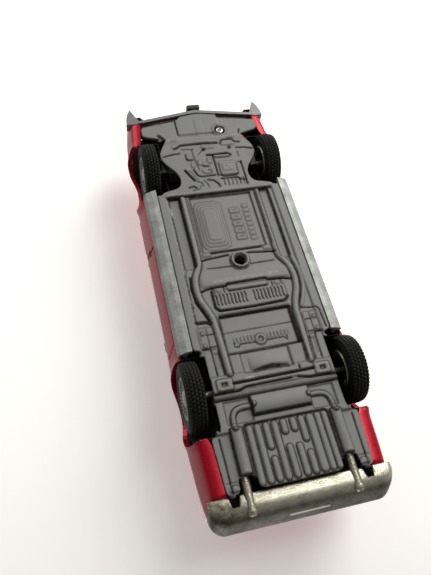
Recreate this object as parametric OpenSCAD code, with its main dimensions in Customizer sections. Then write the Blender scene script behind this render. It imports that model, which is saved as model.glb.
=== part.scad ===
// Die-cast two-door fastback coupe with lifting headlamps, about 1:43.
// Millimetres. It stands on its wheels at z = 0, nose towards -Y, its left side towards +X.
// The origin is under the middle of the bounding box.

/* [Body casting] */
// Height of the roof above the ground
roof_z = 31.7; // [31:0.1:32.5]
// Half of the width over the wheel-arch flares
half_width = 23.8; // [23.6:0.1:24.2]
// Wall thickness of the painted casting
wall = 1.4; // [1.2:0.1:1.6]
// Height of the painted lower edge of the doors
sill_z = 6.4; // [6.2:0.1:6.8]

/* [Wheels] */
// Radius of the tyres
tyre_r = 8.85; // [8.6:0.05:8.95]
// Width of each tyre
tyre_w = 4.8; // [4.6:0.1:5]
// Radius of the cast hubs inside the tyres
hub_r = 5.3; // [5:0.1:5.6]
// Position of the front axle along the car
front_axle_y = -38.4; // [-38.8:0.1:-38]
// Position of the rear axle along the car
rear_axle_y = 32; // [31.8:0.1:32.4]
// Middle of each front tyre, out from the centre line
front_tyre_x = 18.4; // [18:0.1:18.6]
// Middle of each rear tyre, out from the centre line
rear_tyre_x = 20.4; // [20.2:0.1:20.6]
// Where the axles rest in their side play
side_play = 0.2; // [-0.5:0.1:0.5]
// Radius of the steel axles
axle_r = 0.8; // [0.7:0.05:0.9]
// Radial running clearance of every turning pin
running_fit = 0.08; // [0.05:0.01:0.1]

/* [Wheel arches] */
// Radius of the wheel-arch openings
arch_r = 10.25; // [10:0.05:10.4]
// Middle of the front arch along the car
front_arch_y = -37.9; // [-38.2:0.1:-37.6]
// Middle of the rear arch along the car
rear_arch_y = 33; // [32.8:0.1:33.2]

/* [Base] */
// Underside of the flat middle of the base
base_z = 4.2; // [4:0.1:4.4]
// Half width of the base between the sills
base_half = 18; // [17.8:0.1:18]
// Radius of the hole for a display-stand screw
stand_hole_r = 1.8; // [1.6:0.1:1.9]
// Position of that hole along the car
stand_hole_y = -1.85; // [-2.2:0.05:-1.5]

/* [Doors] */
// Gap around each door
door_gap = 0.25; // [0.2:0.05:0.3]
// Height of the doors' top edge
door_top = 21; // [20.6:0.1:21.2]

/* [Headlamps] */
// Height of the headlamps' pivot shaft
lamp_pivot_z = 17.3; // [17.2:0.1:17.4]
// Position of the pivot shaft along the car
lamp_pivot_y = -53.4; // [-53.6:0.1:-53.2]
// Radius of the pivot shaft
lamp_shaft_r = 0.7; // [0.6:0.05:0.8]

/* [Hidden] */
$fn = 64;

// Colours of the materials
paint = [0.62, 0.04, 0.1];
grey_plastic = [0.46, 0.46, 0.45];
zinc = [0.6, 0.62, 0.6];
nickel = [0.8, 0.77, 0.7];
steel = [0.72, 0.72, 0.72];
black_rubber = [0.05, 0.05, 0.05];
cream = [0.86, 0.8, 0.66];
lamp_red = [0.75, 0.05, 0.05];
clear = [0.85, 0.9, 0.92];
dark_grey = [0.2, 0.2, 0.2];

// The door hinge's vertical axis, its barrel and its pin
hinge_x = 22.2;
hinge_y = -11.9;
barrel_r = 1.1;
hinge_pin_r = 0.4;
barrel_z0 = 10;
barrel_z1 = 17.8;

// The lever that lifts the headlamps: a flat plate on a rivet, with its tab over the bumper
lever_x = 5.9;
lever_y = -50.4;
lever_z0 = 7.7;
lever_z1 = 8.7;
rivet_r = 1.2;
tab_tip_y = -62.9;
rivet_top_z = 12;

// Bumpers: top of the front bumper's ends, and the face that the tail lamps stand on
bumper_top_z = 9.6;
tail_panel_y = 61.2;

// The headlamp pods: distance of their inner and outer sides from the centre line
pod_x0 = 8.6;
pod_x1 = 18.4;
lens_r = 1.9;
pod_barrel_r = 2.05;

// A half outline, drawn from front to rear or from bottom to top at x >= 0, and its mirror image
function both(half) = concat(
    half,
    [for (i = [len(half) - 1 : -1 : 0]) if (half[i][0] > 0) [-half[i][0], half[i][1]]]
);

// Prisms along each axis: a (y, z) outline, an (x, z) outline and an (x, y) outline
module along_x(outline, x0, x1) {
    translate([x0, 0, 0]) rotate([90, 0, 90]) linear_extrude(height = x1 - x0) polygon(outline);
}

module along_y(outline, y0, y1) {
    translate([0, y1, 0]) rotate([90, 0, 0]) linear_extrude(height = y1 - y0) polygon(outline);
}

module along_z(outline, z0, z1) {
    translate([0, 0, z0]) linear_extrude(height = z1 - z0) polygon(outline);
}

module mirror_x(on) {
    if (on) {
        mirror([1, 0, 0]) children();
    } else {
        children();
    }
}

module tube_x(r, x0, x1, y, z) {
    translate([x0, y, z]) rotate([0, 90, 0]) cylinder(r = r, h = x1 - x0);
}

// Outlines of the lower body, inset by t; an inset body runs down past the sills
function lower_floor(t) = t > 0 ? 2 : sill_z;

function lower_side(t) = [
    [-59.8 + t, lower_floor(t)], [-61.4 + t, 9.5], [-62.6 + t, 13], [-62 + t, 17.6 - t],
    [-57 + t, 19.3 - t], [-40, 20.9 - t], [-12, 22.4 - t], [20, 22.8 - t], [40, 22.4 - t],
    [55 - t, 21.2 - t], [61.2 - t, 19.4 - t], [62 - t, 15], [60.6 - t, 9.5], [57 - t, lower_floor(t)]
];

function lower_section(t) = both([
    [half_width - 1.9 - t, lower_floor(t)], [half_width - 1.1 - t, 9], [half_width - 0.3 - t, 12.5],
    [half_width - t, 15], [half_width - 0.4 - t, 18], [half_width - 1.8 - t, 20.4 - t],
    [half_width - 4.3 - t, 22.2 - t], [8, 23 - t]
]);

function lower_plan(t) = both([
    [0, -60 + t], [17.5, -62.2 + t], [19.6 - t, -62.8 + t], [21.2 - t, -61.4 + t], [22.6 - t, -54],
    [23.3 - t, -46], [23.6 - t, -38], [23.3 - t, -24], [23.3 - t, 12], [half_width - t, 28],
    [half_width - t, 38], [23 - t, 50], [22.2 - t, 58 - t], [20.5 - t, 62 - t]
]);

// Outlines of the cabin, inset by t
function cabin_side(t) = [
    [-14.5 + t, 17], [-13.6 + t, 22.2], [-4 + t, 30.2 - t], [1, 31.3 - t], [8, roof_z - t],
    [16, 31.3 - t], [25, 29.6 - t], [40, 25.6 - t], [54 - t, 21.8 - t], [57 - t, 17]
];

function cabin_section(t) = both([
    [19.2 - t, 17], [19 - t, 22.6], [15.8 - t, 29.4 - t / 2], [13.6 - t, 30.8 - t],
    [7, 31.5 - t], [0, roof_z - t]
]);

function cabin_plan(t) = both([
    [0, -15 + t], [10, -14 + t], [16.5 - t, -11.5 + t], [19.2 - t, -4], [19.2 - t, 20],
    [18.4 - t, 34], [15.6 - t, 48], [12.5 - t, 57 - t]
]);

module lower_body(t) {
    intersection() {
        along_x(lower_side(t), -30, 30);
        along_y(lower_section(t), -70, 70);
        along_z(lower_plan(t), 0, 30);
    }
}

module cabin(t) {
    intersection() {
        along_x(cabin_side(t), -25, 25);
        along_y(cabin_section(t), -20, 60);
        along_z(cabin_plan(t), 15, 35);
    }
}

// The space that a left door takes up in the side of the body, grown by g
module door_space(g) {
    along_x([
        [hinge_y, 7.6 - g], [17.8 + g, 7.6 - g], [19.4 + g, 13.5], [18.6 + g, door_top + g],
        [hinge_y, door_top + g]
    ], 20.4 - g, 26);
    translate([hinge_x, hinge_y, 7.6 - g]) cylinder(r = barrel_r + 1.4 * g, h = door_top - 7.6 + 2 * g);
}

// Ears above and below the hinge barrel, which belong to the body
module hinge_ears() {
    for (z = [8.3, 18.1]) {
        translate([hinge_x, hinge_y, z]) cylinder(r = 1, h = 1.4);
        translate([hinge_x - 1, hinge_y - 3, z]) cube([1.6, 3, 1.4]);
    }
}

module window_openings() {
    // Windscreen
    along_y(both([[16.2, 23], [13.4, 29.5], [11.8, 30]]), -20, 1);
    // Rear window
    along_z(both([[11.8, 26.5], [12.6, 30], [11.4, 43], [10, 44.5]]), 21.6, 33);
    // Side windows ahead of and behind the pillar
    along_x([[-9.6, 23], [18.4, 23], [18.6, 29.3], [-0.5, 29.5], [-3.4, 28.6]], -25, 25);
    along_x([[20, 23], [28.5, 23.4], [26.8, 26.2], [24, 28.2], [20.2, 29]], -25, 25);
}

module lamp_pockets() {
    for (side = [-1, 1]) {
        translate([side * (pod_x0 + pod_x1) / 2, -55.95, 17.5])
            cube([pod_x1 - pod_x0 + 0.8, 9.7, 9], center = true);
    }
}

module body_shell() {
    color(paint)
    difference() {
        union() {
            difference() {
                union() {
                    lower_body(0);
                    cabin(0);
                }
                lower_body(wall);
                cabin(wall);
                for (side = [0, 1]) mirror_x(side == 1) door_space(door_gap);
            }
            intersection() {
                lower_body(0);
                union() {
                    for (side = [0, 1]) mirror_x(side == 1) hinge_ears();
                    // Pillar that takes the lever's rivet
                    translate([lever_x, lever_y, lever_z1 + 0.3]) cylinder(r = 2, h = 12);
                    // Turned-in lower edges of the wings ahead of and behind the wheels
                    for (side = [-1, 1]) {
                        translate([side * 20.7 - 2, -57.2, sill_z]) cube([4, 11, 1.4]);
                        translate([side * 20.7 - 2, 43.4, sill_z]) cube([4, 12.4, 1.4]);
                    }
                }
            }
        }
        tube_x(arch_r, -30, 30, front_arch_y, 8.85);
        tube_x(arch_r, -30, 30, rear_arch_y, 8.85);
        window_openings();
        lamp_pockets();
        // Grille mouth and the slot for the lever's tab
        translate([-17, -66, 9.6]) cube([34, 7.4, 4.8]);
        translate([-8, -66, 4]) cube([18, 7.4, 5.2]);
        // Room for the bumpers
        translate([-30, -70, 0]) cube([60, 12.8, bumper_top_z]);
        translate([-30, 55.9, 0]) cube([60, 10, 8]);
        // Recess for the tail lamps
        translate([-17.5, tail_panel_y, 11]) cube([35, 4, 6.6]);
        translate([lever_x, lever_y, 0]) cylinder(r = rivet_r, h = rivet_top_z);
        for (side = [-1, 1]) {
            translate([side * hinge_x, hinge_y, 9]) cylinder(r = hinge_pin_r, h = 10);
        }
    }
}

module door(right) {
    color(paint)
    mirror_x(right)
    difference() {
        intersection() {
            lower_body(0);
            union() {
                difference() {
                    door_space(0);
                    lower_body(wall);
                    translate([hinge_x, hinge_y, 0]) cylinder(r = barrel_r + 0.3, h = 30);
                }
                intersection() {
                    lower_body(0);
                    union() {
                        translate([hinge_x, hinge_y, barrel_z0]) cylinder(r = barrel_r, h = barrel_z1 - barrel_z0);
                        translate([hinge_x - 0.6, hinge_y, barrel_z0]) cube([1.7, 2.4, barrel_z1 - barrel_z0]);
                    }
                }
            }
        }
        translate([hinge_x, hinge_y, 0]) cylinder(r = hinge_pin_r + running_fit, h = 30);
    }
}

module door_left() {
    door(false);
}

module door_right() {
    door(true);
}

module hinge_pin(right) {
    color(steel)
    mirror_x(right) translate([hinge_x, hinge_y, 9]) cylinder(r = hinge_pin_r, h = 10);
}

module hinge_pin_left() {
    hinge_pin(false);
}

module hinge_pin_right() {
    hinge_pin(true);
}

// Outlines of the base in plan: the middle between the sills, and the two ends
middle_outline = both([
    [11.6, -46], [14, -43.2], [14.5, -41], [13.7, -38.6], [12.2, -36.4], [10.2, -33], [10.4, -29.4], [12, -27.8], [16, -27],
    [base_half, -25.9], [base_half, 22], [15.6, 23.4], [15.6, 43.4]
]);
front_outline = both([
    [0, -58], [6, -57], [6, -56], [17.8, -54.2], [18.3, -53.4], [18.3, -50.4], [14, -49.3], [11.6, -48], [11.6, -44]
]);
rear_outline = both([
    [15.6, 43.2], [18.3, 44.2], [17.3, 56.2], [14.6, 56.2], [14.6, 53.1], [10, 53.1], [10, 56.2]
]);

module base_plate() {
    color(grey_plastic)
    difference() {
        union() {
            along_z(middle_outline, base_z, base_z + 2);
            along_z(front_outline, base_z + 0.6, base_z + 2);
            along_z(rear_outline, base_z + 0.6, base_z + 2);
            // Engine and gearbox relief
            translate([-5, -42.2, base_z - 0.6]) cube([12, 11, 1]);
            translate([-4, -31.4, base_z - 0.4]) cube([8, 6, 1]);
            // Floor panels
            translate([-9.8, -24.6, base_z - 0.3]) cube([19.6, 20, 1]);
            // Boss for the display-stand screw
            translate([0, stand_hole_y, base_z - 0.9]) cylinder(r = 2.5, h = 5.9);
            // Silencer across the car and the two tail silencers
            tube_x(2, -7.3, 7.3, 37.9, base_z + 1.4);
            for (side = [-1, 1]) {
                translate([side * 12.4, 42.6, base_z + 1.5]) rotate([-90, 0, 0]) cylinder(r = 1.3, h = 10.4);
            }
            // Fuel-tank ribs
            for (x = [-9.6, -7.6, -5.3, -3.1, 3.6, 7.6, 9.6]) {
                translate([x - 0.35, 42, base_z + 0.2]) cube([0.7, 13.8, 1]);
            }
            // Boss around the lever's rivet
            translate([lever_x, lever_y, base_z]) cylinder(r = 2.3, h = lever_z0 - 0.3 - base_z);
        }
        translate([0, stand_hole_y, 0]) cylinder(r = stand_hole_r, h = base_z + 4);
        translate([lever_x, lever_y, 0]) cylinder(r = rivet_r, h = 12);
        // Counterbore for the rivet's head
        translate([lever_x, lever_y, 0]) cylinder(r = 1.7, h = base_z + 0.9);
    }
}

// The bare casting strip that shows between the base and the painted side
module sill(right) {
    color(zinc)
    mirror_x(right)
    difference() {
        along_y([
            [18.3, base_z - 0.2], [19.6, base_z + 0.1], [21.2, base_z + 1], [21.9, sill_z - 0.1],
            [20.3, sill_z - 0.05], [20.3, sill_z + 1.4], [19.4, sill_z + 1.4], [19.2, base_z + 1.3], [18.3, base_z + 1.1]
        ], -28.3, 22);
        tube_x(arch_r, 10, 30, front_arch_y, 8.85);
        tube_x(arch_r, 10, 30, rear_arch_y, 8.85);
    }
}

module sill_left() {
    sill(false);
}

module sill_right() {
    sill(true);
}

module front_bumper() {
    color(nickel)
    union() {
        // Blade in a shallow V, furthest forward at the middle
        along_z(both([[0, -60.5], [18.6, -57.4], [18.6, -56.6], [17.4, -56.6], [0, -59.3]]), 5.9, 7.3);
        // Pointed ends in front of the wings
        for (side = [0, 1]) {
            mirror_x(side == 1) along_z([
                [17.6, -57.6], [19, -60.4], [20.25, -63.6], [21.3, -61.6], [21.9, -59.5], [22.1, -57.2],
                [17.6, -57.2]
            ], 6.9, bumper_top_z);
        }
    }
}

module rear_bumper() {
    color(nickel)
    difference() {
        intersection() {
            along_x([
                [56.4, 6.6], [59.4, 6.2], [62, 8], [63.6, 11.4], [63.6, 13.6], [62.4, 14.4], [62.2, 11],
                [60.7, 8.6], [58.4, 7.6], [56.4, 7.8]
            ], -22.2, 22.2);
            along_z(both([[22.2, 55], [22.2, 60.5], [20.8, 62.7], [18, 63.4], [0, 63.7]]), 0, 20);
        }
        // Notches in the front edge for the exhaust pipes
        for (side = [-1, 1]) {
            translate([side * 16 - 1, 56, 5]) cube([2, 2.2, 4]);
            translate([side * 12.8, 55, 7]) rotate([-90, 0, 0]) cylinder(r = 1.3, h = 9);
        }
    }
}

module grille() {
    color(nickel)
    difference() {
        translate([-16.8, -60.2, 9.8]) cube([33.6, 1.3, 4.4]);
        for (row = [0 : 3]) {
            translate([-16.2, -61, 10.2 + row * 0.95]) cube([32.4, 1.6, 0.5]);
        }
    }
}

module exhaust_tip(right) {
    color(nickel)
    mirror_x(right)
    translate([12.8, 53.1, 7])
    rotate([-90, 0, 0])
    difference() {
        union() {
            cylinder(r = 1.1, h = 7.3);
            translate([0, 0, 7.3]) sphere(r = 1.2);
        }
        translate([0, 0, 7.1]) cylinder(r = 0.5, h = 2);
    }
}

module exhaust_tip_left() {
    exhaust_tip(false);
}

module exhaust_tip_right() {
    exhaust_tip(true);
}

module tail_lamp(right) {
    color(lamp_red)
    mirror_x(right) translate([6, tail_panel_y, 12]) cube([10.6, 0.7, 4.6]);
}

module tail_lamp_left() {
    tail_lamp(false);
}

module tail_lamp_right() {
    tail_lamp(true);
}

module number_plate_front() {
    color(clear)
    translate([-5, -60.9, 10.6]) cube([10, 0.6, 2.8]);
}

module number_plate_rear() {
    color(clear)
    translate([-5, tail_panel_y, 12.6]) cube([10, 0.3, 2.8]);
}

module window_glazing() {
    color(clear, 0.4)
    difference() {
        intersection() {
            cabin(wall + 0.05);
            translate([-25, -20, 21.2]) cube([50, 80, 12]);
        }
        cabin(wall + 0.8);
        translate([-25, 46, 20]) cube([50, 20, 12]);
    }
}

module interior_tub() {
    color(cream)
    difference() {
        translate([-15.9, -10, 9.6]) cube([31.8, 38.6, 10.4]);
        translate([-15.1, -9.2, 10.4]) cube([30.2, 37, 12]);
    }
}

function seat_side(y, z) = [
    [y - 6, z], [y + 1.6, z], [y + 3.6, z + 9], [y + 2.2, z + 9.6], [y, z + 3.6], [y - 6, z + 4]
];

module front_seats() {
    color(cream)
    union() {
        for (x = [-14.8, 1]) along_x(seat_side(8, 10.4), x, x + 13.8);
        along_x([[3, 10.4], [8, 10.4], [8, 13], [3, 13]], -1.2, 1.2);
    }
}

module rear_seat() {
    color(cream)
    along_x([[17.4, 10.4], [27.6, 10.4], [27.6, 19.6], [25.6, 19.6], [23, 14.2], [17.4, 14.6]], -14.8, 14.8);
}

module dashboard() {
    color(dark_grey)
    along_x([[-11.6, 20.2], [-8.6, 20.4], [-7.4, 18.8], [-8.4, 16], [-9, 16], [-9.1, 20], [-11.6, 20]], -14.9, 14.9);
}

module steering_wheel() {
    color(dark_grey)
    translate([7.4, -4, 17.6])
    rotate([115, 0, 0])
    union() {
        rotate_extrude() translate([2.9, 0]) circle(r = 0.35);
        cylinder(r = 0.8, h = 0.9, center = true);
        cylinder(r = 0.4, h = 5);
        translate([-2.9, -0.3, -0.25]) cube([5.8, 0.6, 0.5]);
    }
}

// Bearing bracket for one axle: two cheeks joined over the axle
module axle_bracket(y, bar_z) {
    color(dark_grey)
    difference() {
        union() {
            for (side = [-1, 1]) translate([side * 13.6 - 1, y - 2.2, base_z + 2]) cube([2, 4.4, bar_z - base_z - 2]);
            translate([-14.6, y - 2.2, bar_z - 1]) cube([29.2, 4.4, 1]);
        }
        tube_x(axle_r + running_fit, -20, 20, y, tyre_r);
    }
}

module front_axle_bracket() {
    axle_bracket(front_axle_y, 12);
}

module rear_axle_bracket() {
    axle_bracket(rear_axle_y, 12);
}

module axle(y, tyre_x) {
    color(steel)
    tube_x(axle_r, side_play - tyre_x - 1.6, side_play + tyre_x + 1.6, y, tyre_r);
}

module front_axle() {
    axle(front_axle_y, front_tyre_x);
}

module rear_axle() {
    axle(rear_axle_y, rear_tyre_x);
}

// Places a wheel piece, drawn with its outer face towards +Z, on the left or right end of an axle
module on_axle(y, tyre_x, right) {
    translate([side_play, y, tyre_r]) mirror_x(right) translate([tyre_x, 0, 0]) rotate([0, 90, 0]) children();
}

module hub() {
    color(nickel)
    rotate_extrude() polygon([
        [axle_r, -2.4], [2.2, -2.4], [2.2, -0.6], [hub_r - 1, -0.6], [hub_r - 1, -2.4], [hub_r, -2.4], [hub_r, 2.2],
        [hub_r - 0.7, 2.2], [hub_r - 1.2, 1.2], [1.9, 1.2], [1.5, 2.1], [axle_r, 2.1]
    ]);
}

module tyre() {
    side = tyre_w / 2;
    color(black_rubber)
    rotate_extrude() polygon([
        [hub_r, -side + 0.5], [hub_r + 1.2, -side], [tyre_r - 0.9, -side], [tyre_r - 0.2, -side + 0.5],
        [tyre_r, -side + 1.2], [tyre_r, side - 1.2], [tyre_r - 0.2, side - 0.5], [tyre_r - 0.9, side],
        [hub_r + 1.2, side], [hub_r, side - 0.5]
    ]);
}

module front_hub_left() {
    on_axle(front_axle_y, front_tyre_x, false) hub();
}

module front_hub_right() {
    on_axle(front_axle_y, front_tyre_x, true) hub();
}

module rear_hub_left() {
    on_axle(rear_axle_y, rear_tyre_x, false) hub();
}

module rear_hub_right() {
    on_axle(rear_axle_y, rear_tyre_x, true) hub();
}

module front_tyre_left() {
    on_axle(front_axle_y, front_tyre_x, false) tyre();
}

module front_tyre_right() {
    on_axle(front_axle_y, front_tyre_x, true) tyre();
}

module rear_tyre_left() {
    on_axle(rear_axle_y, rear_tyre_x, false) tyre();
}

module rear_tyre_right() {
    on_axle(rear_axle_y, rear_tyre_x, true) tyre();
}

// Side outline of a headlamp pod: cover on top, slanting lamp face ahead and below
pod_side = [
    [lamp_pivot_y, lamp_pivot_z - pod_barrel_r], [lamp_pivot_y, lamp_pivot_z + pod_barrel_r],
    [-60.2, 18.3], [-60.2, 17.9], [-57.2, 14]
];
lens_face_angle = atan2(3, 3.9);

module headlamp_unit() {
    color(paint)
    difference() {
        union() {
            for (side = [0, 1]) {
                mirror_x(side == 1) {
                    along_x(pod_side, pod_x0, pod_x1);
                    tube_x(pod_barrel_r, pod_x0, pod_x1, lamp_pivot_y, lamp_pivot_z);
                }
            }
            tube_x(lamp_shaft_r, -20, 20, lamp_pivot_y, lamp_pivot_z);
        }
        for (x = [-16, -11, 11, 16]) lens_place(x) cylinder(r = lens_r, h = 3);
    }
}

// On the middle of the lamp face, with +Z out of the face
module lens_place(x) {
    translate([x, -58.7, 15.95]) rotate([lens_face_angle + 90, 0, 0]) translate([0, 0, -0.5]) children();
}

module headlamp_lens(right) {
    color(clear)
    mirror_x(right)
    for (x = [11, 16]) lens_place(x) cylinder(r = lens_r, h = 0.5);
}

module headlamp_lens_left() {
    headlamp_lens(false);
}

module headlamp_lens_right() {
    headlamp_lens(true);
}

// Bearing blocks that hold the ends of the headlamps' shaft
module headlamp_shaft_clips() {
    color(dark_grey)
    difference() {
        for (side = [-1, 1]) {
            translate([side * 19.6 - 0.5, lamp_pivot_y - 1.1, lamp_pivot_z - 1.6]) cube([1, 2.7, 2.25]);
        }
        tube_x(lamp_shaft_r + running_fit, -25, 25, lamp_pivot_y, lamp_pivot_z);
        translate([-25, lamp_pivot_y - 0.5, lamp_pivot_z]) cube([50, 1, 3]);
    }
}

module headlamp_lever() {
    color(dark_grey)
    difference() {
        union() {
            translate([lever_x, lever_y, lever_z0]) cylinder(r = 2.6, h = lever_z1 - lever_z0);
            along_z([
                [lever_x - 2.2, lever_y - 1.2], [lever_x + 2.2, lever_y - 1.2], [2, -57], [2, tab_tip_y],
                [-2, tab_tip_y], [-2, -57]
            ], lever_z0, lever_z1);
            // Finger lip, turned down in front of the bumper blade
            along_z([[2, tab_tip_y + 1.5], [2, tab_tip_y], [-2, tab_tip_y], [-2, tab_tip_y + 1.5]], 6.1, lever_z1);
        }
        translate([lever_x, lever_y, 0]) cylinder(r = rivet_r + running_fit, h = 20);
    }
}

module lever_rivet() {
    color(steel)
    translate([lever_x, lever_y, 0])
    union() {
        translate([0, 0, base_z + 0.3]) cylinder(r = 1.65, h = 0.6);
        translate([0, 0, base_z + 0.9]) cylinder(r = rivet_r, h = rivet_top_z - base_z - 0.9);
    }
}

body_shell();
door_left();
door_right();
hinge_pin_left();
hinge_pin_right();
base_plate();
sill_left();
sill_right();
front_bumper();
rear_bumper();
grille();
exhaust_tip_left();
exhaust_tip_right();
tail_lamp_left();
tail_lamp_right();
number_plate_front();
number_plate_rear();
window_glazing();
interior_tub();
front_seats();
rear_seat();
dashboard();
steering_wheel();
front_axle_bracket();
rear_axle_bracket();
front_axle();
rear_axle();
front_hub_left();
front_hub_right();
rear_hub_left();
rear_hub_right();
front_tyre_left();
front_tyre_right();
rear_tyre_left();
rear_tyre_right();
headlamp_unit();
headlamp_shaft_clips();
headlamp_lens_left();
headlamp_lens_right();
headlamp_lever();
lever_rivet();
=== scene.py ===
"""Die-cast two-door coupe lying on its roof, seen from below and behind on a pale floor.

Blender works in metres; every size below is in millimetres and multiplied by MM where an object is made.
The car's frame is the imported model's: wheels on z = 0, nose towards -Y, its left side towards +X.
"""

import copy
import math

import bpy
import numpy as np
from mathutils import Matrix, Vector


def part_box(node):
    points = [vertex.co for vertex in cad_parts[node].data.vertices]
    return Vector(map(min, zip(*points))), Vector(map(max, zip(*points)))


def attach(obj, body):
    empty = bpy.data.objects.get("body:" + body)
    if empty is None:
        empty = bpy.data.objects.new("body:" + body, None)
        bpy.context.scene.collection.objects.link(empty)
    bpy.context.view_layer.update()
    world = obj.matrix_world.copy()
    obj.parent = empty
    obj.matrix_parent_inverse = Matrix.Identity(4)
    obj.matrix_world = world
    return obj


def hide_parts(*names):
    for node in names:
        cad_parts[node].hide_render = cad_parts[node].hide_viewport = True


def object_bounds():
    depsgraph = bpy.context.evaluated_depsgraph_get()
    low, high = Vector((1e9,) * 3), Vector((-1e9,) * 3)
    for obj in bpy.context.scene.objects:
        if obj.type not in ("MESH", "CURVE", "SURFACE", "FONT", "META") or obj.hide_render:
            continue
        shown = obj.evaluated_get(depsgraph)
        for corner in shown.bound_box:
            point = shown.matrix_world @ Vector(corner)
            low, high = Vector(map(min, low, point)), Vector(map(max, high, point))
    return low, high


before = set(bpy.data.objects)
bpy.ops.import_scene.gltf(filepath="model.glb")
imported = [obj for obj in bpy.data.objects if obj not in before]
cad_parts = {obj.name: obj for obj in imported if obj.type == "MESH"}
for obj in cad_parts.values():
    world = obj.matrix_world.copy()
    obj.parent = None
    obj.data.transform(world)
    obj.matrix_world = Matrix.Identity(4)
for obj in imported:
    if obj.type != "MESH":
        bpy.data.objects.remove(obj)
cad_low, cad_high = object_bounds()

MM = 0.001
SIDES = ((1, "left"), (-1, "right"))


def node_box(name):
    """Lowest and highest corner of a CAD node, in millimetres."""
    low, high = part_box(name)
    return np.array(low) / MM, np.array(high) / MM


# ---------------------------------------------------------------- helpers for meshes


def smoothstep(value, low, high):
    """0 up to low, 1 from high on, and a smooth rise between them."""
    t = np.clip((value - low) / (high - low), 0.0, 1.0)
    return t * t * (3 - 2 * t)


def fading(value, low, high):
    """1 up to low, 0 from high on, and a smooth fall between them."""
    return 1 - smoothstep(value, low, high)


def bulge(distance, radius):
    """Height of a half-round section: 1 in its middle and 0 from radius on."""
    return np.sqrt(np.clip(1 - (distance / radius) ** 2, 0, 1))


def curve_through(points):
    """A smooth function of one variable through (x, y) points, without overshoot."""
    xs = np.array([p[0] for p in points], float)
    ys = np.array([p[1] for p in points], float)
    step = np.diff(xs)
    slope = np.diff(ys) / step
    tangent = np.zeros(len(xs))
    same = slope[:-1] * slope[1:] > 0
    w0, w1 = 2 * step[1:] + step[:-1], step[1:] + 2 * step[:-1]
    safe = np.where(same, slope[:-1] * slope[1:], 1.0)
    tangent[1:-1] = np.where(same, (w0 + w1) * safe / (w0 * slope[1:] + w1 * slope[:-1] + 1e-12), 0.0)
    tangent[0], tangent[-1] = slope[0], slope[-1]

    def value(x):
        x = np.clip(x, xs[0], xs[-1])
        i = np.clip(np.searchsorted(xs, x) - 1, 0, len(step) - 1)
        h = step[i]
        t = (x - xs[i]) / h
        return (
            ys[i] * (1 + 2 * t) * (1 - t) ** 2
            + tangent[i] * h * t * (1 - t) ** 2
            + ys[i + 1] * t * t * (3 - 2 * t)
            + tangent[i + 1] * h * t * t * (t - 1)
        )

    return value


def segment_distance(x, y, points, closed=False):
    """Distance of every (x, y) from a polyline."""
    best = np.full(x.shape, 1e9)
    ends = points[1:] + points[:1] if closed else points[1:]
    for (ax, ay), (bx, by) in zip(points, ends):
        dx, dy = bx - ax, by - ay
        t = np.clip(((x - ax) * dx + (y - ay) * dy) / (dx * dx + dy * dy + 1e-12), 0, 1)
        best = np.minimum(best, np.hypot(x - ax - t * dx, y - ay - t * dy))
    return best


def polygon_distance(x, y, points):
    """Signed distance from a closed polygon, negative inside."""
    inside = np.zeros(x.shape, bool)
    for (ax, ay), (bx, by) in zip(points, points[1:] + points[:1]):
        crosses = (ay > y) != (by > y)
        at = ax + (y - ay) * (bx - ax) / (by - ay if by != ay else 1e-12)
        inside ^= crosses & (x < at)
    return np.where(inside, -1, 1) * segment_distance(x, y, points, closed=True)


def rounded(points, times=2, closed=True, share=0.25, longest=0.6):
    """Rounds a polyline by cutting its corners, by at most a share of each side and at most longest."""
    for _ in range(times):
        ends = points[1:] + points[:1] if closed else points[1:]
        made = [] if closed else [points[0]]
        for (ax, ay), (bx, by) in zip(points, ends):
            length = math.hypot(bx - ax, by - ay)
            cut = min(share, longest / max(length, 1e-6))
            made.append((ax + (bx - ax) * cut, ay + (by - ay) * cut))
            made.append((bx - (bx - ax) * cut, by - (by - ay) * cut))
        points = made if closed else made + [points[-1]]
    return points


def mirrored(half):
    """A closed outline from its right half, drawn from the front to the rear."""
    return half + [(-x, y) for x, y in reversed(half) if x > 0]


def box_distance(x, y, cx, cy, hx, hy, radius=0.0):
    """Signed distance from a rounded rectangle."""
    qx = np.abs(x - cx) - hx + radius
    qy = np.abs(y - cy) - hy + radius
    return np.hypot(np.maximum(qx, 0), np.maximum(qy, 0)) + np.minimum(np.maximum(qx, qy), 0) - radius


def new_object(name, vertices, faces, material, smooth=True, layers=None):
    """A mesh object from millimetre vertices, with optional point layers of numbers from 0 to 1."""
    mesh = bpy.data.meshes.new(name)
    mesh.from_pydata([tuple(v) for v in np.asarray(vertices) * MM], [], [tuple(f) for f in faces])
    mesh.materials.append(material)
    if smooth:
        mesh.polygons.foreach_set("use_smooth", [True] * len(mesh.polygons))
    for layer, values in (layers or {}).items():
        mesh.attributes.new(layer, "FLOAT", "POINT").data.foreach_set("value", np.asarray(values, np.float32))
    made = bpy.data.objects.new(name, mesh)
    bpy.context.scene.collection.objects.link(made)
    return made


def place(piece, body, replaces=()):
    """Ties a finished piece to its CAD body and the CAD nodes that it stands for."""
    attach(piece, body)
    if replaces:
        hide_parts(*replaces)


def bevel(piece, width, segments=3, angle=35):
    """Rounds a piece's sharp edges with a modifier."""
    made = piece.modifiers.new("soft edges", "BEVEL")
    made.width = width * MM
    made.segments = segments
    made.limit_method = "ANGLE"
    made.angle_limit = math.radians(angle)


def walled(piece, wall):
    """Gives a sheet its thickness, on the side that it faces away from."""
    made = piece.modifiers.new("thickness", "SOLIDIFY")
    made.thickness = wall * MM
    made.offset = -1


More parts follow.
